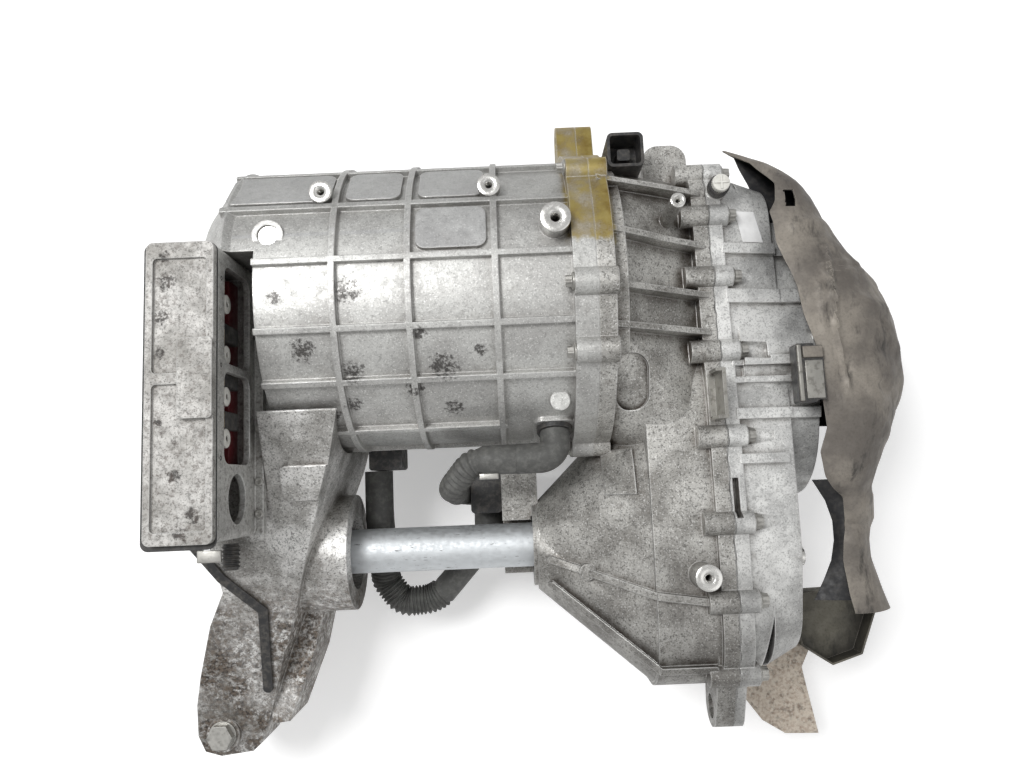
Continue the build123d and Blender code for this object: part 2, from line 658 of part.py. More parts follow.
def gearbox_housing():
    """Return the gearbox casting between the motor joint and the parting plane."""
    body = ring(JOINT_X, JOINT_X + 14, 90, JOINT_R, MOTOR_Y, MOTOR_Z)
    body += rod(JOINT_X, -80, BELL_COLLAR_R, MOTOR_Y, MOTOR_Z)
    body += [bell_form(0), cone_form(0)]
    body += hull_bar(RIDGE_X, -10, resized(LOWER_OUTLINE, -FLANGE_LIP))
    body += hull_bar(-FLANGE_THICK, 0, OUTLINE)
    ribs = bell_ribs() + cone_ribs() + flange_bosses(-24, 0) + joint_lugs(JOINT_X, JOINT_X + 15)
    ribs += [eye_lug(-16, 0), post(-37.5, 271, 40, 150, 5.8), post(-27, -22, 70, 120, 10.3)]
    ribs += [post(-40, 262, FLOOR_Z, -40, 17), post(-40, -40, FLOOR_Z, -80, 17)]
    ribs += [rounded_block(-48, -9, 300, 352, 6, 66, 14), block(-13, 0, 99, 143, 80, TAB_BASE_Z)]
    body = body + ribs - gear_room() - rod(JOINT_X - 1, -96, 100, MOTOR_Y, MOTOR_Z)
    neck = block(NECK_LEFT, CONE_LEFT + 2, -28, 72, -60, 10) - block(-188, CONE_LEFT + 3, -29, 23, -22, 11)
    body = body + [rod(-96, -72, 47, MOTOR_Y, MOTOR_Z), rod(-92, -68, 43, COUNTER_Y, COUNTER_Z),
                   neck - rod(-188, CONE_LEFT + 3, 23), rod(CONE_LEFT - 4, CONE_LEFT + 14, 37)]
    cuts = [rod(-97, -71, 25, MOTOR_Y, MOTOR_Z), rod(-92, -70, 40, MOTOR_Y, MOTOR_Z)]
    cuts += [rod(x, x + w + 1, outer, y, z) for x, w, _, outer, y, z in (COUNTER_BEARINGS[0], DIFF_BEARINGS[0])]
    cuts += [rod(CONE_LEFT - 5, -60, 28), rod(-17, 1, EYE_BORE_R, EYE_Y, EYE_Z)]
    cuts.append(rod(JOINT_X - 1, JOINT_X + 16, LUG_HOLE_R, LUG_Y, MOTOR_Z))
    cuts += [post(-37.5, 271, 128, 151, 2.6), post(-27, -22, 98, 121, 3.4)]
    cuts.append(extrude(Pos(-76, 134, 60) * RectangleRounded(27, 44, 12), 100) - bell_form(-4))
    return body - cuts


def cover_form(grow):
    """Return the cover's outer body, grown by a skin."""
    full = resized(OUTLINE, grow - FLANGE_LIP)
    small = resized(COVER_END, grow - FLANGE_LIP)
    lower = loft_between(8, full, COVER_X - 4, small)
    foot = resized([(y, z, r * 1.08) for y, z, r in COVER_DOME], grow)
    dome = loft_between(20, foot, DOME_X, resized(COVER_DOME, grow))
    return lower + dome


def cover_ribs():
    """Return the flat ribs that run along the cover's front."""
    grown = cover_form(6)
    slabs = [block(10, DOME_X - 1, y - w / 2, y + w / 2, 40, 150)
             for y, w in ((248.0, 9.0), (206.0, 12.0), (150.0, 8.0), (134.0, 5.0), (106.0, 9.0))]
    slabs.append(block(10, 52, 65, 73, 40, 130))
    slabs += [block(10, COVER_X - 6, y - 2.5, y + 2.5, -130, -30) for y in (220.0, 120.0, 20.0)]
    return [slab & grown for slab in slabs]


def gearbox_cover():
    """Return the cover casting right of the parting plane."""
    body = cover_form(0) + hull_bar(0, 12, OUTLINE)
    body = body + cover_ribs() + flange_bosses(0, 16)
    extras = [eye_lug(0, 8), rod(COVER_X - 12, COVER_X + 4, 42), post(9.5, 300, 60, 92, 9)]
    extras.append(rod(40, COVER_X + 5, 10, -16, PLUG_Z))
    extras += [post(x, y, 40, SHIELD_SEAT_Z - SEAT, 8) for x, y, _ in SHIELD_SEATS]
    body = body + extras
    cuts = [hull_bar(-1, 32, resized(OUTLINE, -FLANGE_LIP - CASE_WALL - 1.5))]
    cuts += [rod(x - 8, x + w, outer, y, z) for x, w, _, outer, y, z in
             (ROTOR_BEARINGS[2], COUNTER_BEARINGS[1], DIFF_BEARINGS[1])]
    cuts += [rod(48, COVER_X + 6, 30), rod(-1, 9, EYE_BORE_R, EYE_Y, EYE_Z)]
    cuts.append(block(2, 7, 22, 54, 88, 120))
    cuts += [rod(16, 42, 8.5, y, z) for y, z in flange_bolts_at()]
    return body - cuts


def gearbox_flange_bolts():
    """Return the hex bolts round the parting flange as a group."""
    heads = [head_along_x(16, y, z, 12, 8) for y, z in flange_bolts_at()]
    return Compound(children=heads)


def motor_joint_bolts():
    """Return the hex bolts round the motor joint as a group."""
    x = JOINT_X - JOINT_THICK
    places = [around_motor(a, JOINT_R + 2.5) for a in JOINT_BOLT_ANGLES]
    return Compound(children=[head_along_x(x, y, z, 10, 7, -1) for y, z in places])


def output_seals():
    """Return both shaft seals as a group."""
    left = ring(CONE_LEFT - 2, CONE_LEFT + 7, TUBE_R + SHELL_GAP, 28 - RUN)
    right = ring(COVER_X - 6, COVER_X + 3, 24.5, 30 - RUN)
    return Compound(children=[left, right])


# Counter shaft and differential

def counter_shaft():
    """Return the counter shaft with the final pinion cut on it."""
    shaft = rod(-84, 51.5, COUNTER_R, COUNTER_Y, COUNTER_Z) + rod(-58, 33, 22, COUNTER_Y, COUNTER_Z)
    toward = math.atan2(-COUNTER_Z, -COUNTER_Y)
    pinion = spur_gear(FINAL_X - 1, FINAL_WIDTH + 2, FINAL_MODULE, FINAL_PINION, toward, 3,
                       COUNTER_Y, COUNTER_Z)
    return shaft + pinion


def counter_gear():
    """Return the large first-stage gear with its thinned web."""
    toward = math.atan2(MOTOR_Z - COUNTER_Z, MOTOR_Y - COUNTER_Y)
    phase = toward + math.pi / FIRST_GEAR
    gear = spur_gear(FIRST_X, FIRST_WIDTH, FIRST_MODULE, FIRST_GEAR, phase, 2, COUNTER_Y, COUNTER_Z)
    x1 = FIRST_X + FIRST_WIDTH
    web = 7.0
    gear -= ring(FIRST_X - 1, FIRST_X + web, 34, 70, COUNTER_Y, COUNTER_Z)
    gear -= ring(x1 - web, x1 + 1, 34, 70, COUNTER_Y, COUNTER_Z)
    return gear - rod(FIRST_X - 1, x1 + 1, 22 + RUN, COUNTER_Y, COUNTER_Z)


def ring_gear():
    """Return the final gear that is bolted to the differential case."""
    toward = math.atan2(COUNTER_Z, COUNTER_Y)
    phase = toward + math.pi / FINAL_GEAR
    gear = spur_gear(FINAL_X, FINAL_WIDTH, FINAL_MODULE, FINAL_GEAR, phase, 2)
    return gear - rod(FINAL_X - 1, FINAL_X + FINAL_WIDTH + 1, RING_BORE + RUN)


def differential_case():
    """Return the one-piece case with its windows, flange and trunnions."""
    left, right = DIFF_X - CASE_HALF - 3, DIFF_X + CASE_HALF
    flange = FINAL_X - 6
    profile = [(-86, HUB_R + 2 * RUN), (-86, TRUNNION_R), (left - 4, TRUNNION_R), (left, 34), (flange, 40)]
    profile += [(flange, 75), (FINAL_X, 75), (FINAL_X, RING_BORE), (FINAL_X + 10, RING_BORE)]
    profile += [(FINAL_X + 14, CASE_R), (right - 5, CASE_R), (right, 38), (right, 24), (50, 24)]
    profile += [(50, HUB_R + 2 * RUN)]
    case = turned(profile)
    cavity = Pos(DIFF_X, 0, 0) * Sphere(CASE_CAVITY) & block(DIFF_X - 24, DIFF_X + 24, -50, 50, -50, 50)
    pin_hole = Pos(DIFF_X, 0, 0) * Rot(90, 0, 0) * Cylinder(PIN_R + RUN, 2 * CASE_R + 40)
    window = extrude(Plane(origin=(DIFF_X + 4, 0, -60)) * RectangleRounded(34, 44, 8), 120)
    hole = pin_hole & block(DIFF_X - 10, DIFF_X + 10, -CASE_R - 1, CASE_R + 1, -10, 10)
    return case - [cavity, hole, window]


def differential_pin():
    """Return the cross pin that carries both spider gears."""
    return Pos(DIFF_X, 0, 0) * Rot(90, 0, 0) * Cylinder(PIN_R, 2 * CASE_R - 4)


def ring_gear_bolts():
    """Return the bolts that hold the ring gear as a group."""
    heads = []
    for i in range(RING_BOLTS):
        turn = 2 * math.pi * i / RING_BOLTS
        y, z = RING_BOLT_CIRCLE * math.cos(turn), RING_BOLT_CIRCLE * math.sin(turn)
        heads.append(head_along_x(FINAL_X - 6, y, z, 9, 5.5, -1))
    return Compound(children=heads)


def side_gear(sign):
    """Return a side gear with its hub, right of the pin (1) or left of it (-1)."""
    gear = bevel_gear(SIDE_TEETH, SPIDER_TEETH, 0, 22, 5, SPLINE_R)
    hub = ring(BEVEL_MODULE * SPIDER_TEETH / 2, 36, SPLINE_R, HUB_R)
    whole = gear + hub
    if sign < 0:
        whole = mirror(whole, Plane.YZ)
    return Pos(DIFF_X, 0, 0) * whole


def spider_gear(sign):
    """Return a spider gear on the pin, at +Y (1) or -Y (-1)."""
    gear = bevel_gear(SPIDER_TEETH, SIDE_TEETH, 180 / SPIDER_TEETH, 14, 4.5, PIN_R + RUN)
    return Pos(DIFF_X, 0, 0) * Rot(0, 0, 90 * sign) * gear


def intermediate_shaft():
    """Return the tube that takes the drive back under the motor."""
    tip = DIFF_X - 11
    profile = [(TUBE_LEFT, OUTPUT_BORE_R), (TUBE_LEFT, TUBE_R - 1), (TUBE_LEFT + 1, TUBE_R)]
    profile += [(CONE_LEFT + 16, TUBE_R), (CONE_LEFT + 20, 16), (-90, 16), (-88, SPLINE_R - RUN)]
    profile += [(tip - 1, SPLINE_R - RUN), (tip, SPLINE_R - 1), (tip, 0)]
    profile += [(TUBE_LEFT + OUTPUT_BORE_DEPTH, 0), (TUBE_LEFT + OUTPUT_BORE_DEPTH, OUTPUT_BORE_R)]
    return turned(profile)


# Support arm

ARM_OUTLINE = (
    (-312, 127), (-326, 76), (-346, 23), (-353, 2), (-378, -73), (-383, -82), (-401, -136), (-414, -168),
    (-424, -177), (-454, -181), (-468, -176), (-472, -160), (-468, -130), (-460, -102), (-444, -56),
    (-428, -26), (-434, 24), (-434, 128), (-363, 134),
)
ARM_SKIRT = ((-350, -30), (-364, -92), (-386, -148), (-402, -150), (-410, -30))
STAY_LINE = ((-444, 14), (-426, -13), (-395, -43), (-401, -115))


def sloped_slab(low, high):
    """Return the layer between two planes parallel to the arm's face."""
    y0, y1 = -220.0, 180.0
    levels = [(y0, low), (y1, low), (y1, high), (y0, high)]
    corners = [(y, ARM_FACE_Z + ARM_SLOPE * y + rise) for y, rise in levels]
    return extrude(yz(-500) * make_face(Polyline(*corners, close=True)), 300)


def support_arm():
    """Return the cast arm with the shaft's bearing boss and the mounting foot."""
    arm = prism(ARM_OUTLINE, ARM_BASE_Z, 160) & sloped_slab(-400, 0)
    pad = rounded_block(-364, -322, 50, 78, 0, 160, 4) & sloped_slab(-20, 6)
    pad = pad & prism(ARM_OUTLINE, 0, 160)
    skirt = prism(ARM_SKIRT, ARM_BASE_Z, 0)
    boss = rod(ARM_BOSS_LEFT, ARM_BOSS_RIGHT, ARM_BOSS_R)
    seat = post(-447, -158, ARM_BASE_Z, 0, 15)
    arm = arm + [pad, skirt, boss, seat]
    x0, width = SUPPORT_BEARINGS[0][0], SUPPORT_BEARINGS[0][1]
    cuts = [rod(JOINT_X - 400, JOINT_X, RIB_R + SEAT, MOTOR_Y, MOTOR_Z), rod(-500, -300, 31)]
    cuts += [rod(x0, x0 + width, 36), rod(x0 + width, -300, 34)]
    cuts.append(block(BOX_LEFT - 30, BOX_RIGHT + RIM_STEP + 0.5, BOX_LOW - 1, BOX_HIGH, BOX_FLOOR - SEAT, 200))
    return arm - cuts


def arm_bolt():
    """Return the bolt that holds the vehicle's bush to the arm."""
    return Pos(-447, -158, 0) * hex_head(20, 10)


def harness_stay():
    """Return the black stay that runs from the box down the arm."""
    line = wall_along(STAY_LINE, 8, -60, 160)
    return line & sloped_slab(SHELL_GAP, SHELL_GAP + 4)


# Cooling pipes and small parts

def pipe(points, radii, radius):
    """Return a round pipe along runs that are joined by tangent arcs."""
    path = FilletPolyline(*points, radius=radii)
    start = Plane(origin=path @ 0, z_dir=path % 0)
    return sweep(start * Circle(radius), path=path)


def port_frame():
    """Return the face of the cooling port on the motor's wall."""
    return tangent_plane(HOSE_X, (PORT_ANGLE + PORT_BOLT_ANGLE) / 2, HOUSING_R + 2 + SEAT)


def knee_points():
    """Return where the elbow's foot and its knee lie, as (y, z) pairs."""
    frame = port_frame()
    foot = (frame * Pos(0, 8, 4.3)).position
    reach = 22
    return (foot.Y, foot.Z), (foot.Y + reach * frame.z_dir.Y, foot.Z + reach * frame.z_dir.Z)


def hose_elbow():
    """Return the grey elbow that leaves the motor's cooling port."""
    foot, knee = knee_points()
    return pipe([(HOSE_X, *foot), (HOSE_X, *knee), (-172, *knee)], [14], ELBOW_R)


def hose_retainer():
    """Return the black flange that clamps the elbow."""
    outline = make_hull([Edge.make_circle(r, Plane(origin=(0, v, 0))) for v, r in ((8.0, 15.0), (-13.0, 9.0))])
    return extrude(port_frame() * outline, 4)


def hose_retainer_bolt():
    """Return the bolt of the elbow's flange."""
    return port_frame() * Pos(0, -13, 4) * hex_head(8, 5)


def upper_hose():
    """Return the moulded hose from the elbow to the union block."""
    y, z = knee_points()[1]
    points = [(-172, y, z), (-208, y, z), (-228, y - 22, z - 22), (-228, 48, -34), (UNION_LEFT, 48, -34)]
    return pipe(points, [18, 20, 11.5], UPPER_HOSE_R)


def coolant_union():
    """Return the black union block on the gearbox's neck."""
    return rounded_block(UNION_LEFT, NECK_LEFT, UNION_LOW, UNION_LOW + 40, -62, -2, 4)


def lower_elbow():
    """Return the grey elbow behind the shaft's left end."""
    return pipe([(ELBOW_X, 73.5, -28), (ELBOW_X, 30, -28), (ELBOW_X, -6, -46)], [50], 13.5)


def lower_hose():
    """Return the corrugated loop that passes under the shaft."""
    points = [(ELBOW_X, -6.8, -46.4), (ELBOW_X, -34, -58.6), (-290, -56, -62), (-260, -54, -62), (-226, -30, -56),
              (-201, 2, -47), (-201, UNION_LOW, -47)]
    return pipe(points, [16, 16, 30, 40, 24], LOWER_HOSE_R)


def lower_connector():
    """Return the black plug under the motor's edge."""
    edge = MOTOR_Y - HOUSING_R + 9
    body = rounded_block(-311.5, -280, edge - 30, edge, -44, -6, 3)
    return body - rod(-400, -200, RIB_R + SEAT, MOTOR_Y, MOTOR_Z)


def sensor_connector():
    """Return the open black sensor connector on the gearbox's top edge."""
    shell = rounded_block(-84, -53, 319, 349, 62, 104, 5)
    shell -= rounded_block(-81.5, -55.5, 321.5, 346.5, 76, 105, 3)
    shell += rounded_block(-74, -63, 329, 339, 75, 92, 2)
    return shell - bell_form(SHELL_GAP) - rod(JOINT_X, -79, BELL_COLLAR_R + SHELL_GAP, MOTOR_Y, MOTOR_Z)


def breather_body():
    """Return the knurled base of the breather."""
    return post(9.5, 300, 92, 103, 8.6)


def breather_cap():
    """Return the pale ridged cap of the breather."""
    cap = post(9.5, 300, 103, 108, 7.2)
    cross = block(3.5, 15.5, 299.2, 300.8, 107, 109) + block(8.7, 10.3, 294, 306, 107, 109)
    return cap + cross


def level_plug():
    """Return the oil level plug on the cover."""
    return rod(COVER_X + 5, COVER_X + 11, 8, -16, PLUG_Z)


def lifting_tab():
    """Return the bent steel tab that stands on the parting flange."""
    base, top = TAB_BASE_Z, TAB_BASE_Z + 28
    foot = block(-12, -4, 104, 138, base, base + 2.5)
    upright = block(-7, -4, 101, 141, base, top)
    ears = [block(-12, -4, y, y + 2.5, base + 6, top) for y in (101, 138.5)]
    return upright + [foot] + ears


# Heat shield: (y, left x, left z, crown x, crown z, right x, right z)
SHIELD_SECTIONS = (
    (342.0, 30.0, 60.0, 44.0, 52.0, 56.0, 34.0),
    (312.0, 50.0, 86.0, 82.0, 72.0, 106.0, 10.0),
    (262.0, 57.0, 98.0, 106.0, 82.0, 134.0, 6.0),
    (222.0, 64.0, 104.0, 126.0, 88.0, 166.0, 4.0),
    (186.0, 74.0, 106.0, 146.0, 88.0, 192.0, 2.0),
    (134.0, 79.0, 106.0, 152.0, 88.0, 199.0, 0.0),
    (100.0, 72.0, 102.0, 146.0, 86.0, 188.0, 2.0),
    (60.0, 84.0, 96.0, 130.0, 84.0, 162.0, 14.0),
)
STRIP_SECTIONS = (
    (60.0, 84.0, 96.0, 130.0, 84.0, 162.0, 14.0),
    (38.0, 98.0, 79.0, 121.0, 73.0, 144.0, 48.0),
    (10.0, 103.0, 68.0, 121.0, 64.0, 140.0, 46.0),
    (-20.0, 100.0, 64.0, 118.0, 61.0, 134.0, 44.0),
    (-64.0, 108.0, 60.0, 128.0, 57.0, 147.0, 40.0),
)


def shield_section(y, xl, zl, xm, zm, xr, zr):
    """Return the sheet's closed section in the plane at Y = y."""
    plane = Plane(origin=(0, y, 0), x_dir=(1, 0, 0), z_dir=(0, -1, 0))
    drop = SHIELD_THICK
    outside = ThreePointArc((xl, zl), (xm, zm), (xr, zr))
    inside = ThreePointArc((xr - drop, zr - drop * 0.3), (xm - drop * 0.6, zm - drop), (xl, zl - drop))
    rims = [Line((xr, zr), (xr - drop, zr - drop * 0.3)), Line((xl, zl - drop), (xl, zl))]
    return plane * make_face([outside, rims[0], inside, rims[1]])


def heat_shield():
    """Return the formed sheet over the gearbox's end and its lower strip."""
    upper = loft([shield_section(*s) for s in SHIELD_SECTIONS], ruled=True)
    strip = loft([shield_section(*s) for s in STRIP_SECTIONS], ruled=True)
    seats = [post(x, y, SHIELD_SEAT_Z, top, 7) for x, y, top in SHIELD_SEATS]
    slot = rounded_block(60, 68, 284, 302, 40, 140, 3)
    return upper + [strip, *seats] - slot


def lower_shield():
    """Return the open cup that stands on the rear foot, behind the right output."""
    outline = make_face(Polyline(*CUP_OUTLINE, close=True))
    base = FOOT_TOP_Z + SEAT
    hollow = Pos(0, 0, base + SHIELD_THICK) * offset(outline, -SHIELD_THICK)
    return extrude(Pos(0, 0, base) * outline, CUP_DEPTH) - extrude(hollow, CUP_DEPTH)


def shield_clip():
    """Return the black clip on the shield's free edge."""
    low, lip, top = 97.0, 106.9, 111.0
    edge = min(left for y, left, *_ in SHIELD_SECTIONS if 100 < y < 190)
    body = rounded_block(edge - 16, edge - 0.6, 112, 160, low, top, 2)
    return body + block(edge - 4, edge + 6, 114, 158, lip, top)


def rear_foot():
    """Return the pressed foot bracket below the gearbox cover."""
    x0 = COVER_X - 4 + SHELL_GAP
    top = prism([(x0, -70), (86, -74), (109, -90), (111, -105), (97, -132), (100, -150), (108, -194), (76, -193),
                 (55, -180), (34, -151), (40, -130), (x0, -122)], FOOT_TOP_Z - 4, FOOT_TOP_Z)
    wall = prism([(100, -150), (108, -194), (104, -194), (96, -150)], -96, FOOT_TOP_Z - 1)
    ear = block(x0, x0 + 4, -88, -52, -60, -24)
    return top + [wall, ear]


PIECES = {
    "motor_housing": motor_housing,
    "motor_end_cap": motor_end_cap,
    "core_plug": core_plug,
    "stator_core": stator_core,
    "stator_windings": stator_windings,
    "resolver_stator": resolver_stator,
    "rotor_core": rotor_core,
    "rotor_end_plates": rotor_end_plates,
    "rotor_shaft": rotor_shaft,
    "resolver_rotor": resolver_rotor,
    "terminal_box": terminal_box,
    "terminal_box_gasket": terminal_box_gasket,
    "terminal_box_lid": terminal_box_lid,
    "terminal_block": terminal_block,
    "phase_terminals": phase_terminals,
    "gearbox_housing": gearbox_housing,
    "gearbox_cover": gearbox_cover,
    "gearbox_flange_bolts": gearbox_flange_bolts,
    "motor_joint_bolts": motor_joint_bolts,
    "output_seals": output_seals,
    "bearing_outer_rings": outer_races,
    "rotor_bearing_rings": lambda: inner_races(ROTOR_BEARINGS),
    "counter_bearing_rings": lambda: inner_races(COUNTER_BEARINGS),
    "differential_bearing_rings": lambda: inner_races(DIFF_BEARINGS),
    "support_bearing_ring": lambda: inner_races(SUPPORT_BEARINGS),
    "counter_shaft": counter_shaft,
    "counter_gear": counter_gear,
    "ring_gear": ring_gear,
    "ring_gear_bolts": ring_gear_bolts,
    "differential_case": differential_case,
    "differential_pin": differential_pin,
    "left_side_gear": lambda: side_gear(-1),
    "right_side_gear": lambda: side_gear(1),
    "spider_gear_upper": lambda: spider_gear(1),
    "spider_gear_lower": lambda: spider_gear(-1),
    "intermediate_shaft": intermediate_shaft,
    "support_arm": support_arm,
    "arm_bolt": arm_bolt,
    "harness_stay": harness_stay,
    "hose_elbow": hose_elbow,
    "hose_retainer": hose_retainer,
    "hose_retainer_bolt": hose_retainer_bolt,
    "upper_hose": upper_hose,
    "coolant_union": coolant_union,
    "lower_elbow": lower_elbow,
    "lower_hose": lower_hose,
    "lower_connector": lower_connector,
    "sensor_connector": sensor_connector,
    "breather_body": breather_body,
    "breather_cap": breather_cap,
    "level_plug": level_plug,
    "lifting_tab": lifting_tab,
    "heat_shield": heat_shield,
    "lower_shield": lower_shield,
    "shield_clip": shield_clip,
    "rear_foot": rear_foot,
}


def main():
    """Write every piece to a file of its own."""
    os.makedirs("parts", exist_ok=True)
    for name, make in PIECES.items():
        export_step(make(), f"parts/{name}.step")


main()
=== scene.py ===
import json
import math

import bmesh
import bpy
from mathutils import Matrix, Vector, noise
from mathutils.bvhtree import BVHTree


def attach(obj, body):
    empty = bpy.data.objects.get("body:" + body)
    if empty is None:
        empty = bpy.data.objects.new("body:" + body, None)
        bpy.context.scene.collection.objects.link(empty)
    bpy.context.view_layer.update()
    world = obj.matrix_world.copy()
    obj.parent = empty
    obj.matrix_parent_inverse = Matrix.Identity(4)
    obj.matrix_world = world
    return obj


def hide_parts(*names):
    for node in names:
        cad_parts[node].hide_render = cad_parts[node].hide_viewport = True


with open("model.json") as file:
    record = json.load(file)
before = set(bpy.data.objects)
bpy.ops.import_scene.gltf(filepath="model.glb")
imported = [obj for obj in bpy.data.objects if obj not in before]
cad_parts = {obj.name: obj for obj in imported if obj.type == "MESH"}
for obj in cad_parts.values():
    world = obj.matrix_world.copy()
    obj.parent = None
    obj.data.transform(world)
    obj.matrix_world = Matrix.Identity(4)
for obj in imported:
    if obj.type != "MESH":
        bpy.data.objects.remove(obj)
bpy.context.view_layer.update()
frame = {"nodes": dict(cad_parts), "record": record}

# The places and sizes in these values are in millimetres
MOTOR_Y, MOTOR_Z, MOTOR_RADIUS = 217.0, 35.0, 122.0
FLOOR_Z = -130.5
THREAD_PITCH = 1.25
SHARP_ANGLE = math.radians(38)
# The threaded bosses: x, y, z of the top, radius of the boss, radius of the bore
BOLTED_BOSSES = (
    (-318.0, 292.0, 145.0, 9.0, 3.4), (-185.0, 292.0, 145.0, 9.0, 3.4), (-135.0, 255.0, 170.0, 11.6, 4.3),
    (-37.5, 271.0, 150.0, 5.8, 2.6), (-27.0, -22.0, 120.0, 10.3, 3.4),
)
# The colour of the dirt on the castings, and of the painted shade in their corners
GRIME_AND_SHADE = (0.11, 0.088, 0.07)
# Dark stains on the motor wall and on the lid: x, y, z, radius
MOTOR_STAINS = [
    (x, y, MOTOR_Z + math.sqrt(MOTOR_RADIUS ** 2 - (y - MOTOR_Y) ** 2), radius) for x, y, radius in (
        (-296, 208, 17), (-333, 165, 16), (-296, 148, 15), (-225, 150, 19), (-318, 118, 13), (-243, 176, 11),
        (-220, 120, 13), (-250, 134, 12), (-196, 160, 8), (-352, 205, 9), (-270, 232, 6), (-300, 125, 12))
]
LID_STAINS = (
    (-420, 212, 188, 11), (-424, 186, 188, 9), (-421, 232, 188, 8), (-424, 160, 188, 7), (-413, 72, 188, 8),
    (-400, 44, 188, 10), (-408, 31, 188, 9), (-425, 110, 188, 6),
)
# The four phase terminals, and the corners of both hoses' centre lines
PHASE_Y = (100.0, 132.0, 164.0, 204.0)
UPPER_HOSE = ((-172.0, 76.8, 90.3), (-208.0, 76.8, 90.3), (-228.0, 54.8, 68.3), (-228.0, 48.0, -34.0),
              (-216.0, 48.0, -34.0))
LOWER_HOSE = ((-306.0, -6.8, -46.4), (-306.0, -34.0, -58.6), (-290.0, -56.0, -62.0), (-260.0, -54.0, -62.0),
              (-226.0, -30.0, -56.0), (-201.0, 2.0, -47.0), (-201.0, 30.0, -47.0))
# The shield's sections: (y, left x, left z, crown x, crown z, right x, right z)
SHIELD_ROWS = (
    (350, 28, 54, 32, 52, 36, 46), (344, 33, 58, 44, 55, 54, 38), (338, 40, 64, 56, 58, 74, 30),
    (331, 45, 72, 66, 64, 92, 22), (320, 50, 80, 76, 72, 106, 12), (311, 56, 86, 84, 76, 112, 10),
    (304, 60, 90, 88, 79, 118, 8), (299, 59, 93, 90, 80, 122, 8),
    (286, 57, 96, 94, 83, 130, 7), (276, 51, 98, 96, 84, 134, 6), (266, 53, 99, 102, 85, 140, 6),
    (248, 53, 102, 110, 87, 154, 5), (232, 58, 104, 120, 88, 168, 4), (222, 62, 105, 126, 89, 178, 3),
    (208, 66, 106, 134, 89, 182, 2), (186, 69, 106, 142, 89, 187, 2), (160, 77, 106, 146, 89, 191, 1),
    (134, 78, 106, 146, 88, 191, 0), (116, 79, 105, 143, 87, 185, 1), (91, 82, 101, 136, 86, 173, 4),
    (72, 76, 98, 128, 85, 161, 9), (52, 80, 93, 122, 82, 150, 17), (42, 88, 87, 119, 78, 142, 34),
    (34, 99, 78, 120, 73, 139, 46), (14, 102, 70, 121, 67, 138, 45), (6, 103, 66, 120, 63, 135, 43),
    (-4, 101, 66, 118, 64, 133, 43), (-20, 100, 64, 117, 61, 133, 43), (-48, 104, 62, 123, 59, 141, 42),
    (-64, 108, 60, 128, 57, 147, 40),
)
# Pressed shapes in the shield: (x, y) to (x, y), half width, height
SHIELD_PRESSINGS = (
    ((88, 227), (131, 234), 3.6, 2.0), ((90, 219), (133, 226), 3.6, 2.0), ((92, 198), (150, 192), 10.0, 4.0),
    ((84, 208), (84, 168), 4.0, 2.2), ((98, 138), (98, 138), 10.0, -3.5), ((102, 58), (102, 58), 7.0, 2.5),
    ((70, 262), (112, 272), 8.0, 2.6), ((150, 176), (178, 112), 12.0, 3.0), ((96, 112), (150, 84), 9.0, 2.6),
    ((100, 162), (165, 150), 8.0, -3.0), ((104, 11), (132, 9), 5.0, -2.5), ((94, 244), (94, 176), 3.0, 3.2),
    ((94, 176), (100, 120), 3.0, 2.6), ((112, 246), (150, 218), 7.0, 2.4),
    ((120, 130), (170, 104), 5.0, -2.4),
)
# The slot cut through the shield, from a low (x, y) to a high (x, y)
SHIELD_SLOT = ((65.0, 280.0), (74.0, 296.0))


def mm(*values):
    """Return a place given in millimetres as metres."""
    return Vector([v / 1000 for v in values])


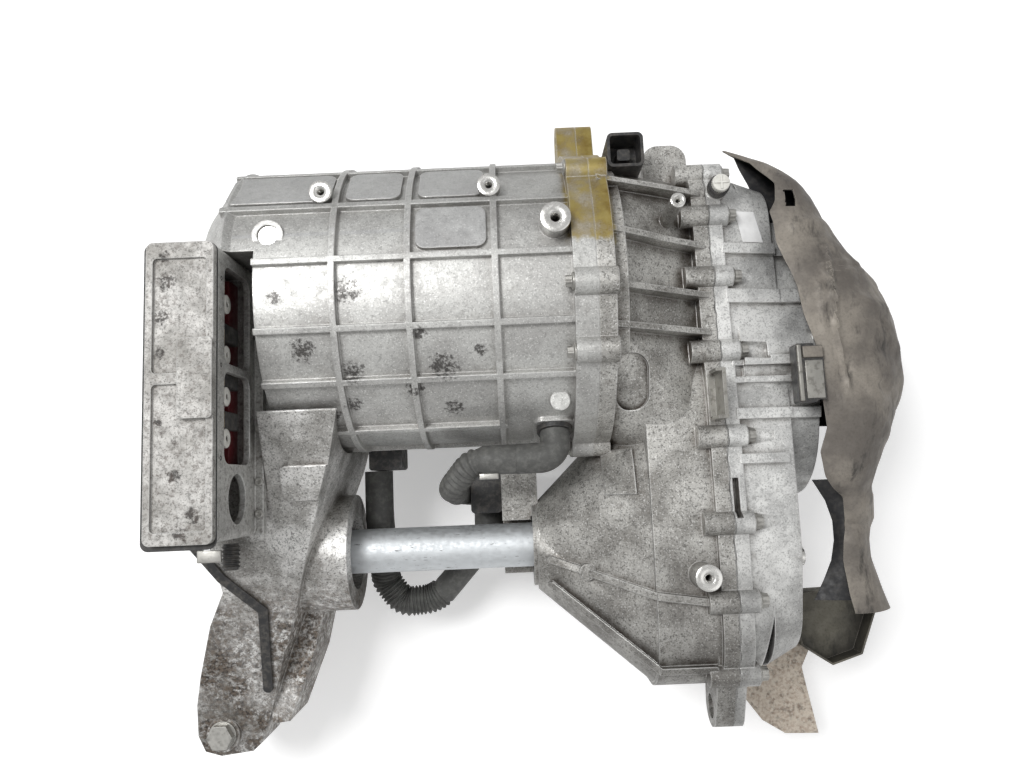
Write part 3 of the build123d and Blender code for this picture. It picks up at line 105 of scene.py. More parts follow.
class Finish:
    """The node tree of one finish, with a short call for each kind of node."""

    def __init__(self, name, rough=0.5, metal=0.0):
        self.material = bpy.data.materials.new(name)
        self.material.use_nodes = True
        self.tree = self.material.node_tree
        self.shader = self.tree.nodes["Principled BSDF"]
        self.shader.inputs["Roughness"].default_value = rough
        self.shader.inputs["Metallic"].default_value = metal
        self.place = self.add("ShaderNodeTexCoord").outputs["Object"]
        self.axes = self.add("ShaderNodeSeparateXYZ")
        self.join(self.axes.inputs[0], self.place)
        self.normal = self.add("ShaderNodeNewGeometry").outputs["Normal"]

    def add(self, kind, **settings):
        """Make a node of a kind, with its settings."""
        node = self.tree.nodes.new(kind)
        for key, value in settings.items():
            setattr(node, key, value)
        return node

    def join(self, socket, value):
        """Link another node's output to a socket, or give the socket a plain value."""
        if isinstance(value, bpy.types.NodeSocket):
            self.tree.links.new(value, socket)
        elif isinstance(value, tuple) and len(value) == 3 and socket.type == "RGBA":
            socket.default_value = (*value, 1.0)
        else:
            socket.default_value = value

    def calc(self, operation, first, second=0.0):
        """Return a sum, product or the like of two values."""
        node = self.add("ShaderNodeMath", operation=operation)
        self.join(node.inputs[0], first)
        self.join(node.inputs[1], second)
        return node.outputs[0]

    def noise(self, size, detail=3.0, rough=0.55, stretch=(1, 1, 1)):
        """Return a noise whose lumps are about so many millimetres across."""
        node = self.add("ShaderNodeTexNoise")
        place = self.place
        if stretch != (1, 1, 1):
            mapping = self.add("ShaderNodeMapping")
            mapping.inputs["Scale"].default_value = stretch
            self.join(mapping.inputs["Vector"], place)
            place = mapping.outputs[0]
        self.join(node.inputs["Vector"], place)
        node.inputs["Scale"].default_value = 1000.0 / size
        node.inputs["Detail"].default_value = detail
        node.inputs["Roughness"].default_value = rough
        return node.outputs[0]

    def step(self, value, low, high, to_low=0.0, to_high=1.0):
        """Return a soft step between two levels of a value."""
        node = self.add("ShaderNodeMapRange", interpolation_type="SMOOTHSTEP")
        for socket, number in zip(list(node.inputs)[:5], (value, low, high, to_low, to_high)):
            self.join(socket, number)
        return node.outputs[0]

    def blend(self, share, below, above):
        """Mix two colours, which are inputs 6 and 7 and output 2 of the mix node."""
        node = self.add("ShaderNodeMix", data_type="RGBA")
        self.join(node.inputs[0], share)
        self.join(node.inputs[6], below)
        self.join(node.inputs[7], above)
        return node.outputs[2]

    def layer(self, mask, amount, below, above):
        """Lay a colour over another where a mask says so, up to an amount."""
        return self.blend(self.calc("MULTIPLY", mask, amount), below, above)

    def near(self, centre, radius, edge):
        """Return 1 near a place in millimetres, falling to 0 over its edge."""
        node = self.add("ShaderNodeVectorMath", operation="DISTANCE")
        self.join(node.inputs[0], self.place)
        node.inputs[1].default_value = mm(*centre)
        return self.step(node.outputs["Value"], (radius + edge) / 1000, (radius - edge) / 1000)

    def round_edges(self, radius, samples=4):
        """Shade the edges as if they were rounded, and return how near an edge is."""
        node = self.add("ShaderNodeBevel", samples=samples)
        node.inputs["Radius"].default_value = radius / 1000
        self.join(self.shader.inputs["Normal"], node.outputs[0])
        dot = self.add("ShaderNodeVectorMath", operation="DOT_PRODUCT")
        self.join(dot.inputs[0], node.outputs[0])
        self.join(dot.inputs[1], self.normal)
        return self.step(dot.outputs["Value"], 0.995, 0.9)

    def crevice_shade(self, reach, samples=6):
        """Return how deep a place lies between its neighbours, as a mask for painted shade in crevices."""
        node = self.add("ShaderNodeAmbientOcclusion", samples=samples)
        node.inputs["Distance"].default_value = reach / 1000
        return self.step(node.outputs["AO"], 0.85, 0.25)

    def bump(self, height, depth, strength=1.0):
        """Raise the surface by a height, over whatever normal it has so far."""
        node = self.add("ShaderNodeBump")
        node.inputs["Strength"].default_value = strength
        node.inputs["Distance"].default_value = depth / 1000
        self.join(node.inputs["Height"], height)
        if self.shader.inputs["Normal"].is_linked:
            self.join(node.inputs["Normal"], self.shader.inputs["Normal"].links[0].from_socket)
        self.join(self.shader.inputs["Normal"], node.outputs[0])

    def colour(self, value):
        """Set the colour of the surface."""
        self.join(self.shader.inputs["Base Color"], value)

    def rough(self, value):
        """Set the roughness of the surface."""
        self.join(self.shader.inputs["Roughness"], value)


def smudges(finish, places):
    """Return a broken-up mask of stains at (x, y, z, radius) places."""
    total = None
    for x, y, z, radius in places:
        mask = finish.near((x, y, z), radius * 0.95, radius * 0.75)
        total = mask if total is None else finish.calc("MAXIMUM", total, mask)
    breaks = finish.noise(3.6, 5.0, 0.72)
    return finish.step(finish.calc("MULTIPLY", total, breaks), 0.38, 0.54)


def cast_metal(name, light, dark, dirt, edge=0.35, stains=(), skin=None, soil_and_shade=None, grain=1.0, matt=0.0):
    """Return a die-cast aluminium with grain, blotches, painted glints, dirt and painted shade in the
    corners, and worn edges.
    """
    finish = Finish(name, metal=0.55)
    worn = finish.round_edges(1.6)
    blotches = finish.step(finish.noise(42.0, 5.0, 0.6), 0.36, 0.62)
    colour = finish.blend(blotches, dark, light)
    speckle = finish.step(finish.noise(1.5, 2.0, 0.7), 0.5, 0.72)
    colour = finish.layer(speckle, min(1.0, 0.55 * grain), colour, tuple(c * 0.42 for c in dark))
    coarse = finish.step(finish.noise(3.4, 3.0, 0.75), 0.52, 0.66)
    colour = finish.layer(coarse, min(0.85, 0.4 * grain), colour, tuple(c * 0.5 for c in dark))
    # Painted glints: bright specks painted into the colour as highlights, their share set by grain and matt
    glints = finish.step(finish.noise(1.3, 1.0, 0.5), 0.6, 0.7)
    colour = finish.layer(glints, min(0.55, 0.5 * grain) * (1 - matt), colour, (0.88, 0.88, 0.86))
    if skin:
        colour = skin(finish, colour)
    patches = finish.step(finish.noise(16.0, 5.0, 0.66), 0.58, 0.7)
    colour = finish.layer(patches, dirt * 0.55, colour, GRIME_AND_SHADE)
    # Dirt and painted shade in the corners: the occlusion mask darkens the crevices with the grime colour
    corner = finish.calc("MULTIPLY", finish.crevice_shade(14.0), finish.step(finish.noise(9.0, 4.0), 0.2, 0.6))
    colour = finish.layer(corner, min(1.0, dirt * 1.5), colour, GRIME_AND_SHADE)
    if stains:
        colour = finish.layer(smudges(finish, stains), 0.85, colour, (0.035, 0.03, 0.028))
    # This hook lays dirt, and on the motor painted shade over its upper side
    if soil_and_shade:
        colour = soil_and_shade(finish, colour)
    colour = finish.layer(worn, edge, colour, (0.86, 0.86, 0.84))
    finish.colour(colour)
    finish.rough(finish.step(finish.noise(7.0, 4.0), 0.3, 0.75, 0.36 + 0.3 * matt, 0.58 + 0.25 * matt))
    finish.bump(finish.noise(1.3, 3.0, 0.6), 0.22, 0.5)
    finish.bump(finish.noise(6.0, 4.0, 0.6), 0.35, 0.4)
    return finish.material


def between(finish, axis, low, high, edge=2.0):
    """Return 1 where a coordinate lies between two millimetre values."""
    value = finish.axes.outputs[axis]
    rise = finish.step(value, (low - edge) / 1000, (low + edge) / 1000)
    fall = finish.step(value, (high + edge) / 1000, (high - edge) / 1000)
    return finish.calc("MULTIPLY", rise, fall)


def wax(finish, colour):
    """Lay the dried yellow wax over the upper end of the motor joint."""
    ragged = finish.calc("MULTIPLY", finish.step(finish.noise(20.0, 4.0), 0.2, 0.8), 0.02)
    y = finish.calc("ADD", finish.axes.outputs[1], finish.calc("SUBTRACT", ragged, 0.01))
    reach = finish.step(y, 0.236, 0.244)
    band = between(finish, 0, -126, -88, 2.5)
    top = finish.step(finish.axes.outputs[2], 0.0, 0.02)
    mask = finish.calc("MULTIPLY", finish.calc("MULTIPLY", reach, band), top)
    thin = finish.step(finish.noise(26.0, 4.0, 0.6), 0.3, 0.55, 0.5, 0.95)
    clouds = finish.step(finish.noise(13.0, 3.0), 0.35, 0.65)
    ochre = finish.blend(clouds, (0.23, 0.155, 0.022), (0.35, 0.27, 0.075))
    return finish.layer(mask, thin, colour, ochre)


def smooth_pads(finish, colour):
    """Give the motor's raised panels a smoother and slightly bluer tone than its wall."""
    total = None
    for angle in (46.5, 71.5):
        dot = finish.add("ShaderNodeVectorMath", operation="DOT_PRODUCT")
        finish.join(dot.inputs[0], finish.normal)
        dot.inputs[1].default_value = (0, math.cos(math.radians(angle)), math.sin(math.radians(angle)))
        mask = finish.step(dot.outputs["Value"], 0.99985, 0.99997)
        total = mask if total is None else finish.calc("MAXIMUM", total, mask)
    total = finish.calc("MULTIPLY", total, between(finish, 0, -398, -186))
    cloud = finish.blend(finish.noise(24.0, 3.0), (0.43, 0.435, 0.45), (0.53, 0.535, 0.55))
    return finish.layer(total, 0.35, colour, cloud)


def motor_skin(finish, colour):
    """Lay pads, wax and the fitter's small green dot over the motor's casting."""
    colour = wax(finish, smooth_pads(finish, colour))
    return finish.blend(finish.near((-112, 209, 166), 2.6, 1.0), colour, (0.06, 0.30, 0.20))


def sealed_joint(finish, colour):
    """Draw the dark bead of sealant at the gearbox's parting plane."""
    wander = finish.calc("MULTIPLY", finish.calc("SUBTRACT", finish.noise(12.0, 3.0), 0.5), 0.0026)
    off = finish.calc("ABSOLUTE", finish.calc("ADD", finish.axes.outputs[0], wander))
    return finish.blend(finish.step(off, 0.0009, 0.0004), colour, (0.05, 0.048, 0.045))


def gearbox_skin(finish, colour):
    """Lay wax and sealant over the gearbox housing's casting."""
    return sealed_joint(finish, wax(finish, colour))


def motor_upper_shade(finish, colour):
    """Paint shade over the motor's upper side, as a dull grey."""
    # Painted shade: a dull grey laid over the motor's upper side, up to a share of 0.42
    upper = finish.step(finish.axes.outputs[1], 0.24, 0.31, 0.0, 0.42)
    upper = finish.calc("MULTIPLY", upper, finish.step(finish.axes.outputs[0], -0.122, -0.130))
    return finish.blend(upper, colour, (0.27, 0.27, 0.26))


def gearbox_soil(finish, colour):
    """Darken the gearbox's lower slope with dust and oil."""
    low = finish.step(finish.axes.outputs[1], 0.06, -0.10, 0.0, 0.85)
    return finish.layer(low, finish.noise(30.0, 4.0), colour, (0.05, 0.045, 0.04))


def arm_soil(finish, colour):
    """Cake the arm's lower end with brown and black road dirt."""
    lift = finish.calc("MULTIPLY", finish.calc("SUBTRACT", finish.noise(26.0, 5.0, 0.7), 0.5), 0.12)
    low = finish.step(finish.calc("ADD", finish.axes.outputs[1], lift), 0.01, -0.07)
    drift = finish.step(finish.noise(38.0, 3.0), 0.36, 0.54, 0.6, 1.0)
    clods = finish.calc("MULTIPLY", finish.step(finish.noise(5.0, 6.0, 0.72), 0.36, 0.56), drift)
    fine = finish.step(finish.noise(3.0, 4.0), 0.35, 0.62)
    brown = finish.blend(fine, (0.03, 0.022, 0.018), (0.17, 0.135, 0.105))
    return finish.layer(low, finish.calc("MULTIPLY", clods, 0.95), colour, brown)


def box_soil(finish, colour):
    """Speckle the terminal box with brown dirt, thicker at its lower end."""
    low = finish.step(finish.axes.outputs[1], 0.17, 0.05, 0.36, 0.56)
    specks = finish.step(finish.noise(4.2, 6.0, 0.75), 0.5, 0.62)
    return finish.layer(low, specks, colour, (0.075, 0.055, 0.045))


def steel(name, colour, rough, dirt, rust=0.0, scratches=None):
    """Return a bare metal with grease and, where asked, rust and scratches."""
    finish = Finish(name, metal=0.85)
    worn = finish.round_edges(0.7)
    tone = finish.blend(finish.noise(6.0, 4.0), tuple(c * 0.72 for c in colour), colour)
    grease = finish.calc("MULTIPLY", finish.step(finish.noise(5.0, 4.0, 0.65), 0.5, 0.68), dirt)
    tone = finish.blend(grease, tone, (0.05, 0.04, 0.032))
    if rust:
        spots = finish.calc("MULTIPLY", finish.step(finish.noise(3.2, 6.0, 0.7), 0.46, 0.6), rust)
        tone = finish.blend(spots, tone, (0.20, 0.085, 0.035))
    if scratches:
        marks = finish.step(finish.noise(2.0, 3.0, 0.6, scratches), 0.66, 0.7)
        tone = finish.layer(marks, 0.75, tone, (0.07, 0.065, 0.06))
    tone = finish.layer(worn, 0.4, tone, (0.85, 0.85, 0.83))
    finish.colour(tone)
    finish.rough(finish.step(finish.noise(3.0, 3.0), 0.3, 0.7, rough, rough + 0.2))
    finish.bump(finish.noise(0.9, 2.0), 0.08, 0.5)
    return finish.material


def turned_face(name, colour):
    """Return a freshly machined aluminium face with the fine grain that a tool leaves."""
    finish = Finish(name, metal=0.9)
    finish.round_edges(0.4)
    finish.colour(finish.blend(finish.noise(2.0, 3.0), tuple(c * 0.85 for c in colour), colour))
    finish.rough(finish.step(finish.noise(4.0, 3.0), 0.3, 0.7, 0.2, 0.34))
    finish.bump(finish.noise(0.5, 2.0, 0.6), 0.05, 0.5)
    return finish.material


def moulded(name, colour, rough, dust, dust_and_shade_colour=(0.30, 0.27, 0.23)):
    """Return a moulded plastic or rubber with dust, and with painted shade in its corners."""
    finish = Finish(name)
    worn = finish.round_edges(0.8)
    darker, lighter = tuple(c * 0.7 for c in colour), tuple(min(1, c * 1.25) for c in colour)
    tone = finish.blend(finish.noise(9.0, 4.0), darker, lighter)
    film = finish.step(finish.noise(6.0, 5.0, 0.7), 0.42, 0.66)
    tone = finish.layer(film, dust, tone, dust_and_shade_colour)
    # Painted shade in the corners, in a darker copy of the dust colour
    corner = finish.calc("MULTIPLY", finish.crevice_shade(6.0), dust)
    tone = finish.blend(corner, tone, tuple(c * 0.6 for c in dust_and_shade_colour))
    tone = finish.layer(worn, 0.22, tone, tuple(min(1, c * 2 + 0.12) for c in colour))
    finish.colour(tone)
    finish.rough(finish.step(finish.noise(5.0, 3.0), 0.3, 0.7, rough - 0.08, rough + 0.12))
    finish.bump(finish.noise(0.8, 2.0, 0.6), 0.12, 0.5)
    return finish.material


def formed_sheet(name, light, dark, scorch_and_shade):
    """Return the matt coat of a formed sheet, with dark soot, painted shade in its crevices, rubbed edges and
    a near-black underside of painted shade.
    """
    finish = Finish(name, metal=0.35)
    worn = finish.round_edges(0.6)
    tone = finish.blend(finish.step(finish.noise(55.0, 5.0, 0.6), 0.35, 0.65), dark, light)
    fine = finish.step(finish.noise(2.2, 4.0, 0.7), 0.45, 0.7)
    tone = finish.layer(fine, 0.3, tone, tuple(c * 0.55 for c in dark))
    streaks = finish.step(finish.noise(14.0, 5.0, 0.7, (1.0, 0.35, 1.0)), 0.52, 0.72)
    tone = finish.layer(streaks, 0.75, tone, scorch_and_shade)
    # Painted shade in the crevices, in the scorch colour
    tone = finish.layer(finish.crevice_shade(12.0), 0.6, tone, scorch_and_shade)
    tone = finish.layer(worn, 0.4, tone, (0.62, 0.57, 0.5))
    # Painted shade: faces that look down are made near-black
    facing = finish.add("ShaderNodeSeparateXYZ")
    finish.join(facing.inputs[0], finish.normal)
    tone = finish.blend(finish.step(facing.outputs[2], 0.02, -0.12), tone, (0.012, 0.011, 0.010))
    finish.colour(tone)
    finish.rough(finish.step(finish.noise(10.0, 4.0), 0.3, 0.7, 0.5, 0.72))
    finish.bump(finish.noise(18.0, 3.0, 0.5), 2.4, 0.6)
    finish.bump(finish.noise(1.6, 3.0, 0.6), 0.15, 0.5)
    return finish.material


CASTINGS = {
    "motor_casting": dict(light=(0.58, 0.58, 0.56), dark=(0.45, 0.445, 0.43), dirt=0.3, edge=0.4,
                          stains=MOTOR_STAINS, skin=motor_skin, soil_and_shade=motor_upper_shade),
    "end_cap": dict(light=(0.52, 0.52, 0.50), dark=(0.42, 0.42, 0.41), dirt=0.4),
    "gearbox_casting": dict(light=(0.58, 0.57, 0.54), dark=(0.30, 0.29, 0.27), dirt=0.6, edge=0.55,
                            skin=gearbox_skin, soil_and_shade=gearbox_soil, grain=1.9),
    "cover_casting": dict(light=(0.84, 0.84, 0.82), dark=(0.50, 0.50, 0.49), dirt=0.55, edge=0.7,
                          skin=sealed_joint, soil_and_shade=gearbox_soil, grain=1.2),
    "arm_casting": dict(light=(0.89, 0.88, 0.86), dark=(0.38, 0.37, 0.35), dirt=0.5, edge=0.3,
                        soil_and_shade=arm_soil, grain=1.9),
    "box_casting": dict(light=(0.56, 0.56, 0.54), dark=(0.44, 0.435, 0.42), dirt=0.3, edge=0.6,
                        soil_and_shade=box_soil),
    "lid_casting": dict(light=(0.56, 0.55, 0.53), dark=(0.35, 0.34, 0.32), dirt=0.5, edge=0.6,
                        stains=LID_STAINS, soil_and_shade=box_soil, grain=1.5, matt=0.85),
}
# Steels and other bare metals: colour, roughness, dirt, then rust and scratches where there are any
STEELS = {
    "terminal_brass": ((0.72, 0.52, 0.20), 0.25, 0.1),
    "bolt_steel": ((0.50, 0.49, 0.46), 0.38, 0.35),
    "bearing_steel": ((0.55, 0.55, 0.56), 0.25, 0.15),
    "gear_steel": ((0.50, 0.50, 0.52), 0.28, 0.12),
    "case_iron": ((0.22, 0.22, 0.23), 0.5, 0.2),
    "lamination": ((0.30, 0.30, 0.32), 0.45, 0.1),
    "copper_winding": ((0.62, 0.27, 0.13), 0.35, 0.1),
    "shaft_steel": ((0.82, 0.85, 0.87), 0.52, 0.06, 0.0, (0.18, 1.0, 1.0)),
    "plated_steel": ((0.40, 0.39, 0.36), 0.42, 0.4),
    "rusty_steel": ((0.74, 0.67, 0.58), 0.6, 0.45, 0.3),
}
# Plastics and rubbers: colour, roughness, dust, then the dust's colour where it differs
PLASTICS = {
    "gasket_rubber": ((0.02, 0.02, 0.02), 0.5, 0.1),
    "insulator": ((0.115, 0.012, 0.016), 0.4, 0.05),
    "seal_rubber": ((0.03, 0.03, 0.03), 0.5, 0.3),
    "black_plastic": ((0.028, 0.028, 0.029), 0.42, 0.2),
    "hose_grey": ((0.08, 0.08, 0.076), 0.6, 0.22, (0.27, 0.27, 0.25)),
    "white_plastic": ((0.74, 0.73, 0.68), 0.45, 0.25),
    "label_white": ((0.93, 0.93, 0.92), 0.5, 0.04),
    # The soot finish also makes the near-black sheets that stand in for the shade inside the shield
    "soot": ((0.012, 0.012, 0.014), 0.55, 0.08),
}
TURNED = {"bright_plug": (0.80, 0.79, 0.76), "end_plate": (0.66, 0.66, 0.66)}
# Formed sheets: light, dark, and the colour of the scorch marks and of the painted crevice shade
SHEETS = {
    "shield_sheet": ((0.29, 0.262, 0.225), (0.145, 0.13, 0.115), (0.03, 0.028, 0.026)),
    "lower_sheet": ((0.16, 0.15, 0.12), (0.07, 0.065, 0.055), (0.02, 0.02, 0.018)),
}
FINISHES = {name: cast_metal(name, **recipe) for name, recipe in CASTINGS.items()}
FINISHES.update({name: steel(name, *recipe) for name, recipe in STEELS.items()})
FINISHES.update({name: moulded(name, *recipe) for name, recipe in PLASTICS.items()})
FINISHES.update({name: turned_face(name, colour) for name, colour in TURNED.items()})
FINISHES.update({name: formed_sheet(name, *recipe) for name, recipe in SHEETS.items()})


def dress_nodes():
    """Give every CAD node the finish of its own slot."""
    slots = {row["node"]: row["material_slot"] for row in frame["record"]["subparts"]}
    for name, piece in frame["nodes"].items():
        for slot in piece.material_slots:
            slot.material = FINISHES[slots[name]]


def make_piece(name, mesh, finish):
    """Turn a finished bmesh into a piece that rides on the housing."""
    data = bpy.data.meshes.new(name)
    mesh.to_mesh(data)
    mesh.free()
    data.materials.append(FINISHES[finish])
    piece = bpy.data.objects.new(name, data)
    bpy.context.scene.collection.objects.link(piece)
    data.polygons.foreach_set("use_smooth", [True] * len(data.polygons))
    data.set_sharp_from_angle(angle=SHARP_ANGLE)
    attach(piece, "housing")
    return piece


def turned(mesh, profile, centre, axis, steps=40):
    """Spin an open (along, radius) profile in millimetres about an axis through a place."""
    axis = Vector(axis).normalized()
    side = axis.orthogonal().normalized()
    centre = mm(*centre)
    verts = [mesh.verts.new(centre + axis * (a / 1000) + side * (r / 1000)) for a, r in profile]
    edges = [mesh.edges.new(pair) for pair in zip(verts, verts[1:])]
    bmesh.ops.spin(mesh, geom=verts + edges, cent=centre, axis=axis, angle=2 * math.pi, steps=steps,
                   use_merge=True, use_duplicate=False)
    bmesh.ops.remove_doubles(mesh, verts=mesh.verts, dist=1e-6)
    bmesh.ops.recalc_face_normals(mesh, faces=mesh.faces)


def pulled_out(mesh, outline):
    """Extrude the face over an outline, and return the new vertices."""
    top = bmesh.ops.extrude_face_region(mesh, geom=list(outline[0].link_faces))["geom"]
    return [item for item in top if isinstance(item, bmesh.types.BMVert)]


def boss_faces():
    """Add the bright machined top of each threaded boss, with its countersink and threads."""
    mesh = bmesh.new()
    for x, y, z, outer, bore in BOLTED_BOSSES:
        profile = [(-0.6, outer + 0.15), (0.2, outer + 0.1), (0.5, outer - 0.35), (0.5, bore + 1.3)]
        profile += [(0.3, bore + 1.0), (-0.7, bore - 0.1)]
        for i in range(7):
            profile.append((-0.7 - (i + 0.5) * THREAD_PITCH, bore - 0.7))
            profile.append((-0.7 - (i + 1) * THREAD_PITCH, bore - 0.15))
        turned(mesh, profile, (x, y, z), (0, 0, 1), 36)
    make_piece("boss_faces", mesh, "bright_plug")


def rounded_line(points, radii):
    """Return close-spaced places in millimetres along straight runs joined by arcs."""
    corners = [Vector(point) for point in points]
    line = [corners[0]]
    for before, corner, after, radius in zip(corners, corners[1:], corners[2:], radii):
        back, onward = (before - corner).normalized(), (after - corner).normalized()
        half = back.angle(onward) / 2
        reach = radius / math.tan(half)
        centre = corner + (back + onward).normalized() * (radius / math.sin(half))
        start = (corner + back * reach - centre).normalized()
        end = (corner + onward * reach - centre).normalized()
        line += [centre + start.slerp(end, i / 12).normalized() * radius for i in range(13)]
    return line + [corners[-1]]


def length_of(line):
    """Return the length along a line of places."""
    return sum((b - a).length for a, b in zip(line, line[1:]))


def ridged(start, end, count, radius, depth, fine=8):
    """Return the (along, radius) profile of a corrugated run, in millimetres."""
    steps = count * fine
    waves = [0.5 + 0.5 * math.cos(2 * math.pi * i / fine) for i in range(steps + 1)]
    return [(start + (end - start) * i / steps, radius - depth * wave) for i, wave in enumerate(waves)]


def bent_piece(name, profile, line, finish, node):
    """Bend a straight turned piece along a line, and let it stand in for a CAD node."""
    mesh = bmesh.new()
    turned(mesh, profile, (0, 0, 0), (1, 0, 0), 32)
    straight = bpy.data.meshes.new("straight")
    mesh.to_mesh(straight)
    mesh.free()
    holder = bpy.data.objects.new("straight", straight)
    rail = bpy.data.curves.new("rail", "CURVE")
    rail.dimensions = "3D"
    spline = rail.splines.new("POLY")
    spline.points.add(len(line) - 1)
    for point, place in zip(spline.points, line):
        point.co = (*(place / 1000), 1.0)
    guide = bpy.data.objects.new("rail", rail)
    for thing in (holder, guide):
        bpy.context.scene.collection.objects.link(thing)
    bend = holder.modifiers.new("bend", "CURVE")
    bend.object = guide
    bend.deform_axis = "POS_X"
    bpy.context.view_layer.update()
    made = bmesh.new()
    made.from_object(holder, bpy.context.evaluated_depsgraph_get())
    bmesh.ops.recalc_face_normals(made, faces=made.faces)
    bpy.data.objects.remove(holder, do_unlink=True)
    bpy.data.objects.remove(guide, do_unlink=True)
    piece = make_piece(name, made, finish)
    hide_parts(node)


def hoses():
    """Make both hoses with their corrugated runs, sleeves and cuffs."""
    line = rounded_line(UPPER_HOSE, (18, 20, 11.5))
    end = length_of(line)
    profile = [(0, 0), (0, 12.2), (27, 12.2), (28.5, 11.0), (31, 10.2)] + ridged(32, end - 74, 15, 11.6, 1.9)
    profile += [(end - 72, 11.6), (end - 50, 11.9), (end - 48, 10.9), (end, 10.9), (end, 0)]
    bent_piece("upper_hose_skin", profile, line, "hose_grey", "upper_hose")
    line = rounded_line(LOWER_HOSE, (16, 16, 30, 40, 24))
    end = length_of(line)
    profile = [(0, 0), (0, 13.6), (5, 13.6)] + ridged(6, 96, 25, 14.6, 2.6)
    profile += [(98, 12.8), (99.5, 13.4), (end - 26, 13.4), (end - 25, 14.4), (end, 14.4), (end, 0)]
    bent_piece("lower_hose_skin", profile, line, "hose_grey", "lower_hose")


def pressed_height(x, y):
    """Return how far the pressings lift the shield at a place."""
    lift = 0.0
    for (x0, y0), (x1, y1), width, height in SHIELD_PRESSINGS:
        run = (x1 - x0) ** 2 + (y1 - y0) ** 2
        share = 0.0 if run == 0 else max(0.0, min(1.0, ((x - x0) * (x1 - x0) + (y - y0) * (y1 - y0)) / run))
        off = math.hypot(x - x0 - share * (x1 - x0), y - y0 - share * (y1 - y0)) / width
        if off < 1:
            lift += height * (1 - off * off) ** 1.5
    return lift


def shield_place(u, v):
    """Return the shield's surface at a share across (u) and along (v), in millimetres."""
    at = v * (len(SHIELD_ROWS) - 1)
    i = min(int(at), len(SHIELD_ROWS) - 2)
    y, xl, zl, xm, zm, xr, zr = (a + (b - a) * (at - i) for a, b in zip(SHIELD_ROWS[i], SHIELD_ROWS[i + 1]))
    left, bow, right = (1 - u) ** 2, 2 * u * (1 - u), u * u
    x = left * xl + bow * (2 * xm - (xl + xr) / 2) + right * xr
    z = left * zl + bow * (2 * zm - (zl + zr) / 2) + right * zr
    dents = noise.noise(Vector((x, y, z)) / 17.0) * 1.1 + noise.noise(Vector((x, y, z)) / 6.5) * 0.35
    edge = min(1.0, 6 * u, 6 * (1 - u))
    return x, y, z + (pressed_height(x, y) + dents) * edge


def shield_sheet():
    """Make the thin formed heat shield with its pressings, slot and uneven edges."""
    mesh = bmesh.new()
    bmesh.ops.create_grid(mesh, x_segments=64, y_segments=168, size=0.5)
    for vert in mesh.verts:
        vert.co = mm(*shield_place(vert.co.x + 0.5, 0.5 - vert.co.y))
    low, high = (mm(*corner, 0) for corner in SHIELD_SLOT)
    middles = [(face, face.calc_center_median()) for face in mesh.faces]
    slot = [face for face, at in middles if low.x < at.x < high.x and low.y < at.y < high.y]
    bmesh.ops.delete(mesh, geom=slot, context="FACES")
    bmesh.ops.recalc_face_normals(mesh, faces=mesh.faces)
    if sum(face.normal.z for face in mesh.faces) < 0:
        bmesh.ops.reverse_faces(mesh, faces=mesh.faces)
    bmesh.ops.solidify(mesh, geom=mesh.faces[:], thickness=0.0014)
    bmesh.ops.recalc_face_normals(mesh, faces=mesh.faces)
    piece = make_piece("heat_shield_sheet", mesh, "shield_sheet")
    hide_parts("heat_shield")


def slab(mesh, low, high, round_by=0.4):
    """Add a block with rounded edges between two corners in millimetres."""
    low, high = mm(*low), mm(*high)
    size = high - low
    made = bmesh.ops.create_cube(mesh, size=1.0)["verts"]
    bmesh.ops.scale(mesh, vec=size, verts=made)
    bmesh.ops.translate(mesh, vec=(low + high) / 2, verts=made)
    edges = list({edge for vert in made for edge in vert.link_edges})
    bmesh.ops.bevel(mesh, geom=edges, offset=round_by / 1000, segments=3, profile=0.5, affect="EDGES",
                    material=-1)


def terminal_details():
    """Add the plated lugs, red collars and pale ends that show through the box's windows."""
    pale, red, plated, dark = bmesh.new(), bmesh.new(), bmesh.new(), bmesh.new()
    for y in PHASE_Y:
        turned(pale, [(0, 0), (0, 6.9), (0.8, 7.4), (2.0, 7.4), (2.6, 6.6), (2.6, 2.6), (1.6, 2.4), (1.6, 0)],
               (-393.6, y, 145), (1, 0, 0), 32)
        turned(red, [(0, 6.6), (0, 8.6), (1.0, 9.0), (3.6, 9.0), (4.2, 8.4), (4.2, 6.6)],
               (-398, y, 145), (1, 0, 0), 32)
        slab(plated, (-404, y + 8, 148), (-392, y + 20, 150.5), 0.5)
        turned(plated, [(0, 0), (0, 4.2), (2.4, 4.2), (3.0, 3.6), (3.0, 1.9), (1.6, 1.8), (1.6, 0)],
               (-398, y + 14, 150.5), (0, 0, 1), 24)
    for y in (116.0, 148.0, 184.0):
        slab(dark, (-403, y - 9, 118), (-392.0, y + 5, 149), 1.2)
    make_piece("terminal_ends", pale, "white_plastic")
    make_piece("terminal_collars", red, "insulator")
    make_piece("terminal_spacers", dark, "black_plastic")
    make_piece("terminal_lugs", plated, "terminal_brass")


def ribbed_disc(mesh, low, tall, radius, count):
    """Add a disc with fine ribs round it, at the breather's place."""
    made = bmesh.ops.create_circle(mesh, cap_ends=True, segments=count * 2, radius=radius / 1000)["verts"]
    for i, vert in enumerate(made):
        vert.co *= 0.94 if i % 2 else 1.0
    bmesh.ops.translate(mesh, vec=mm(9.5, 300, low), verts=made)
    bmesh.ops.translate(mesh, vec=mm(0, 0, tall), verts=pulled_out(mesh, made))


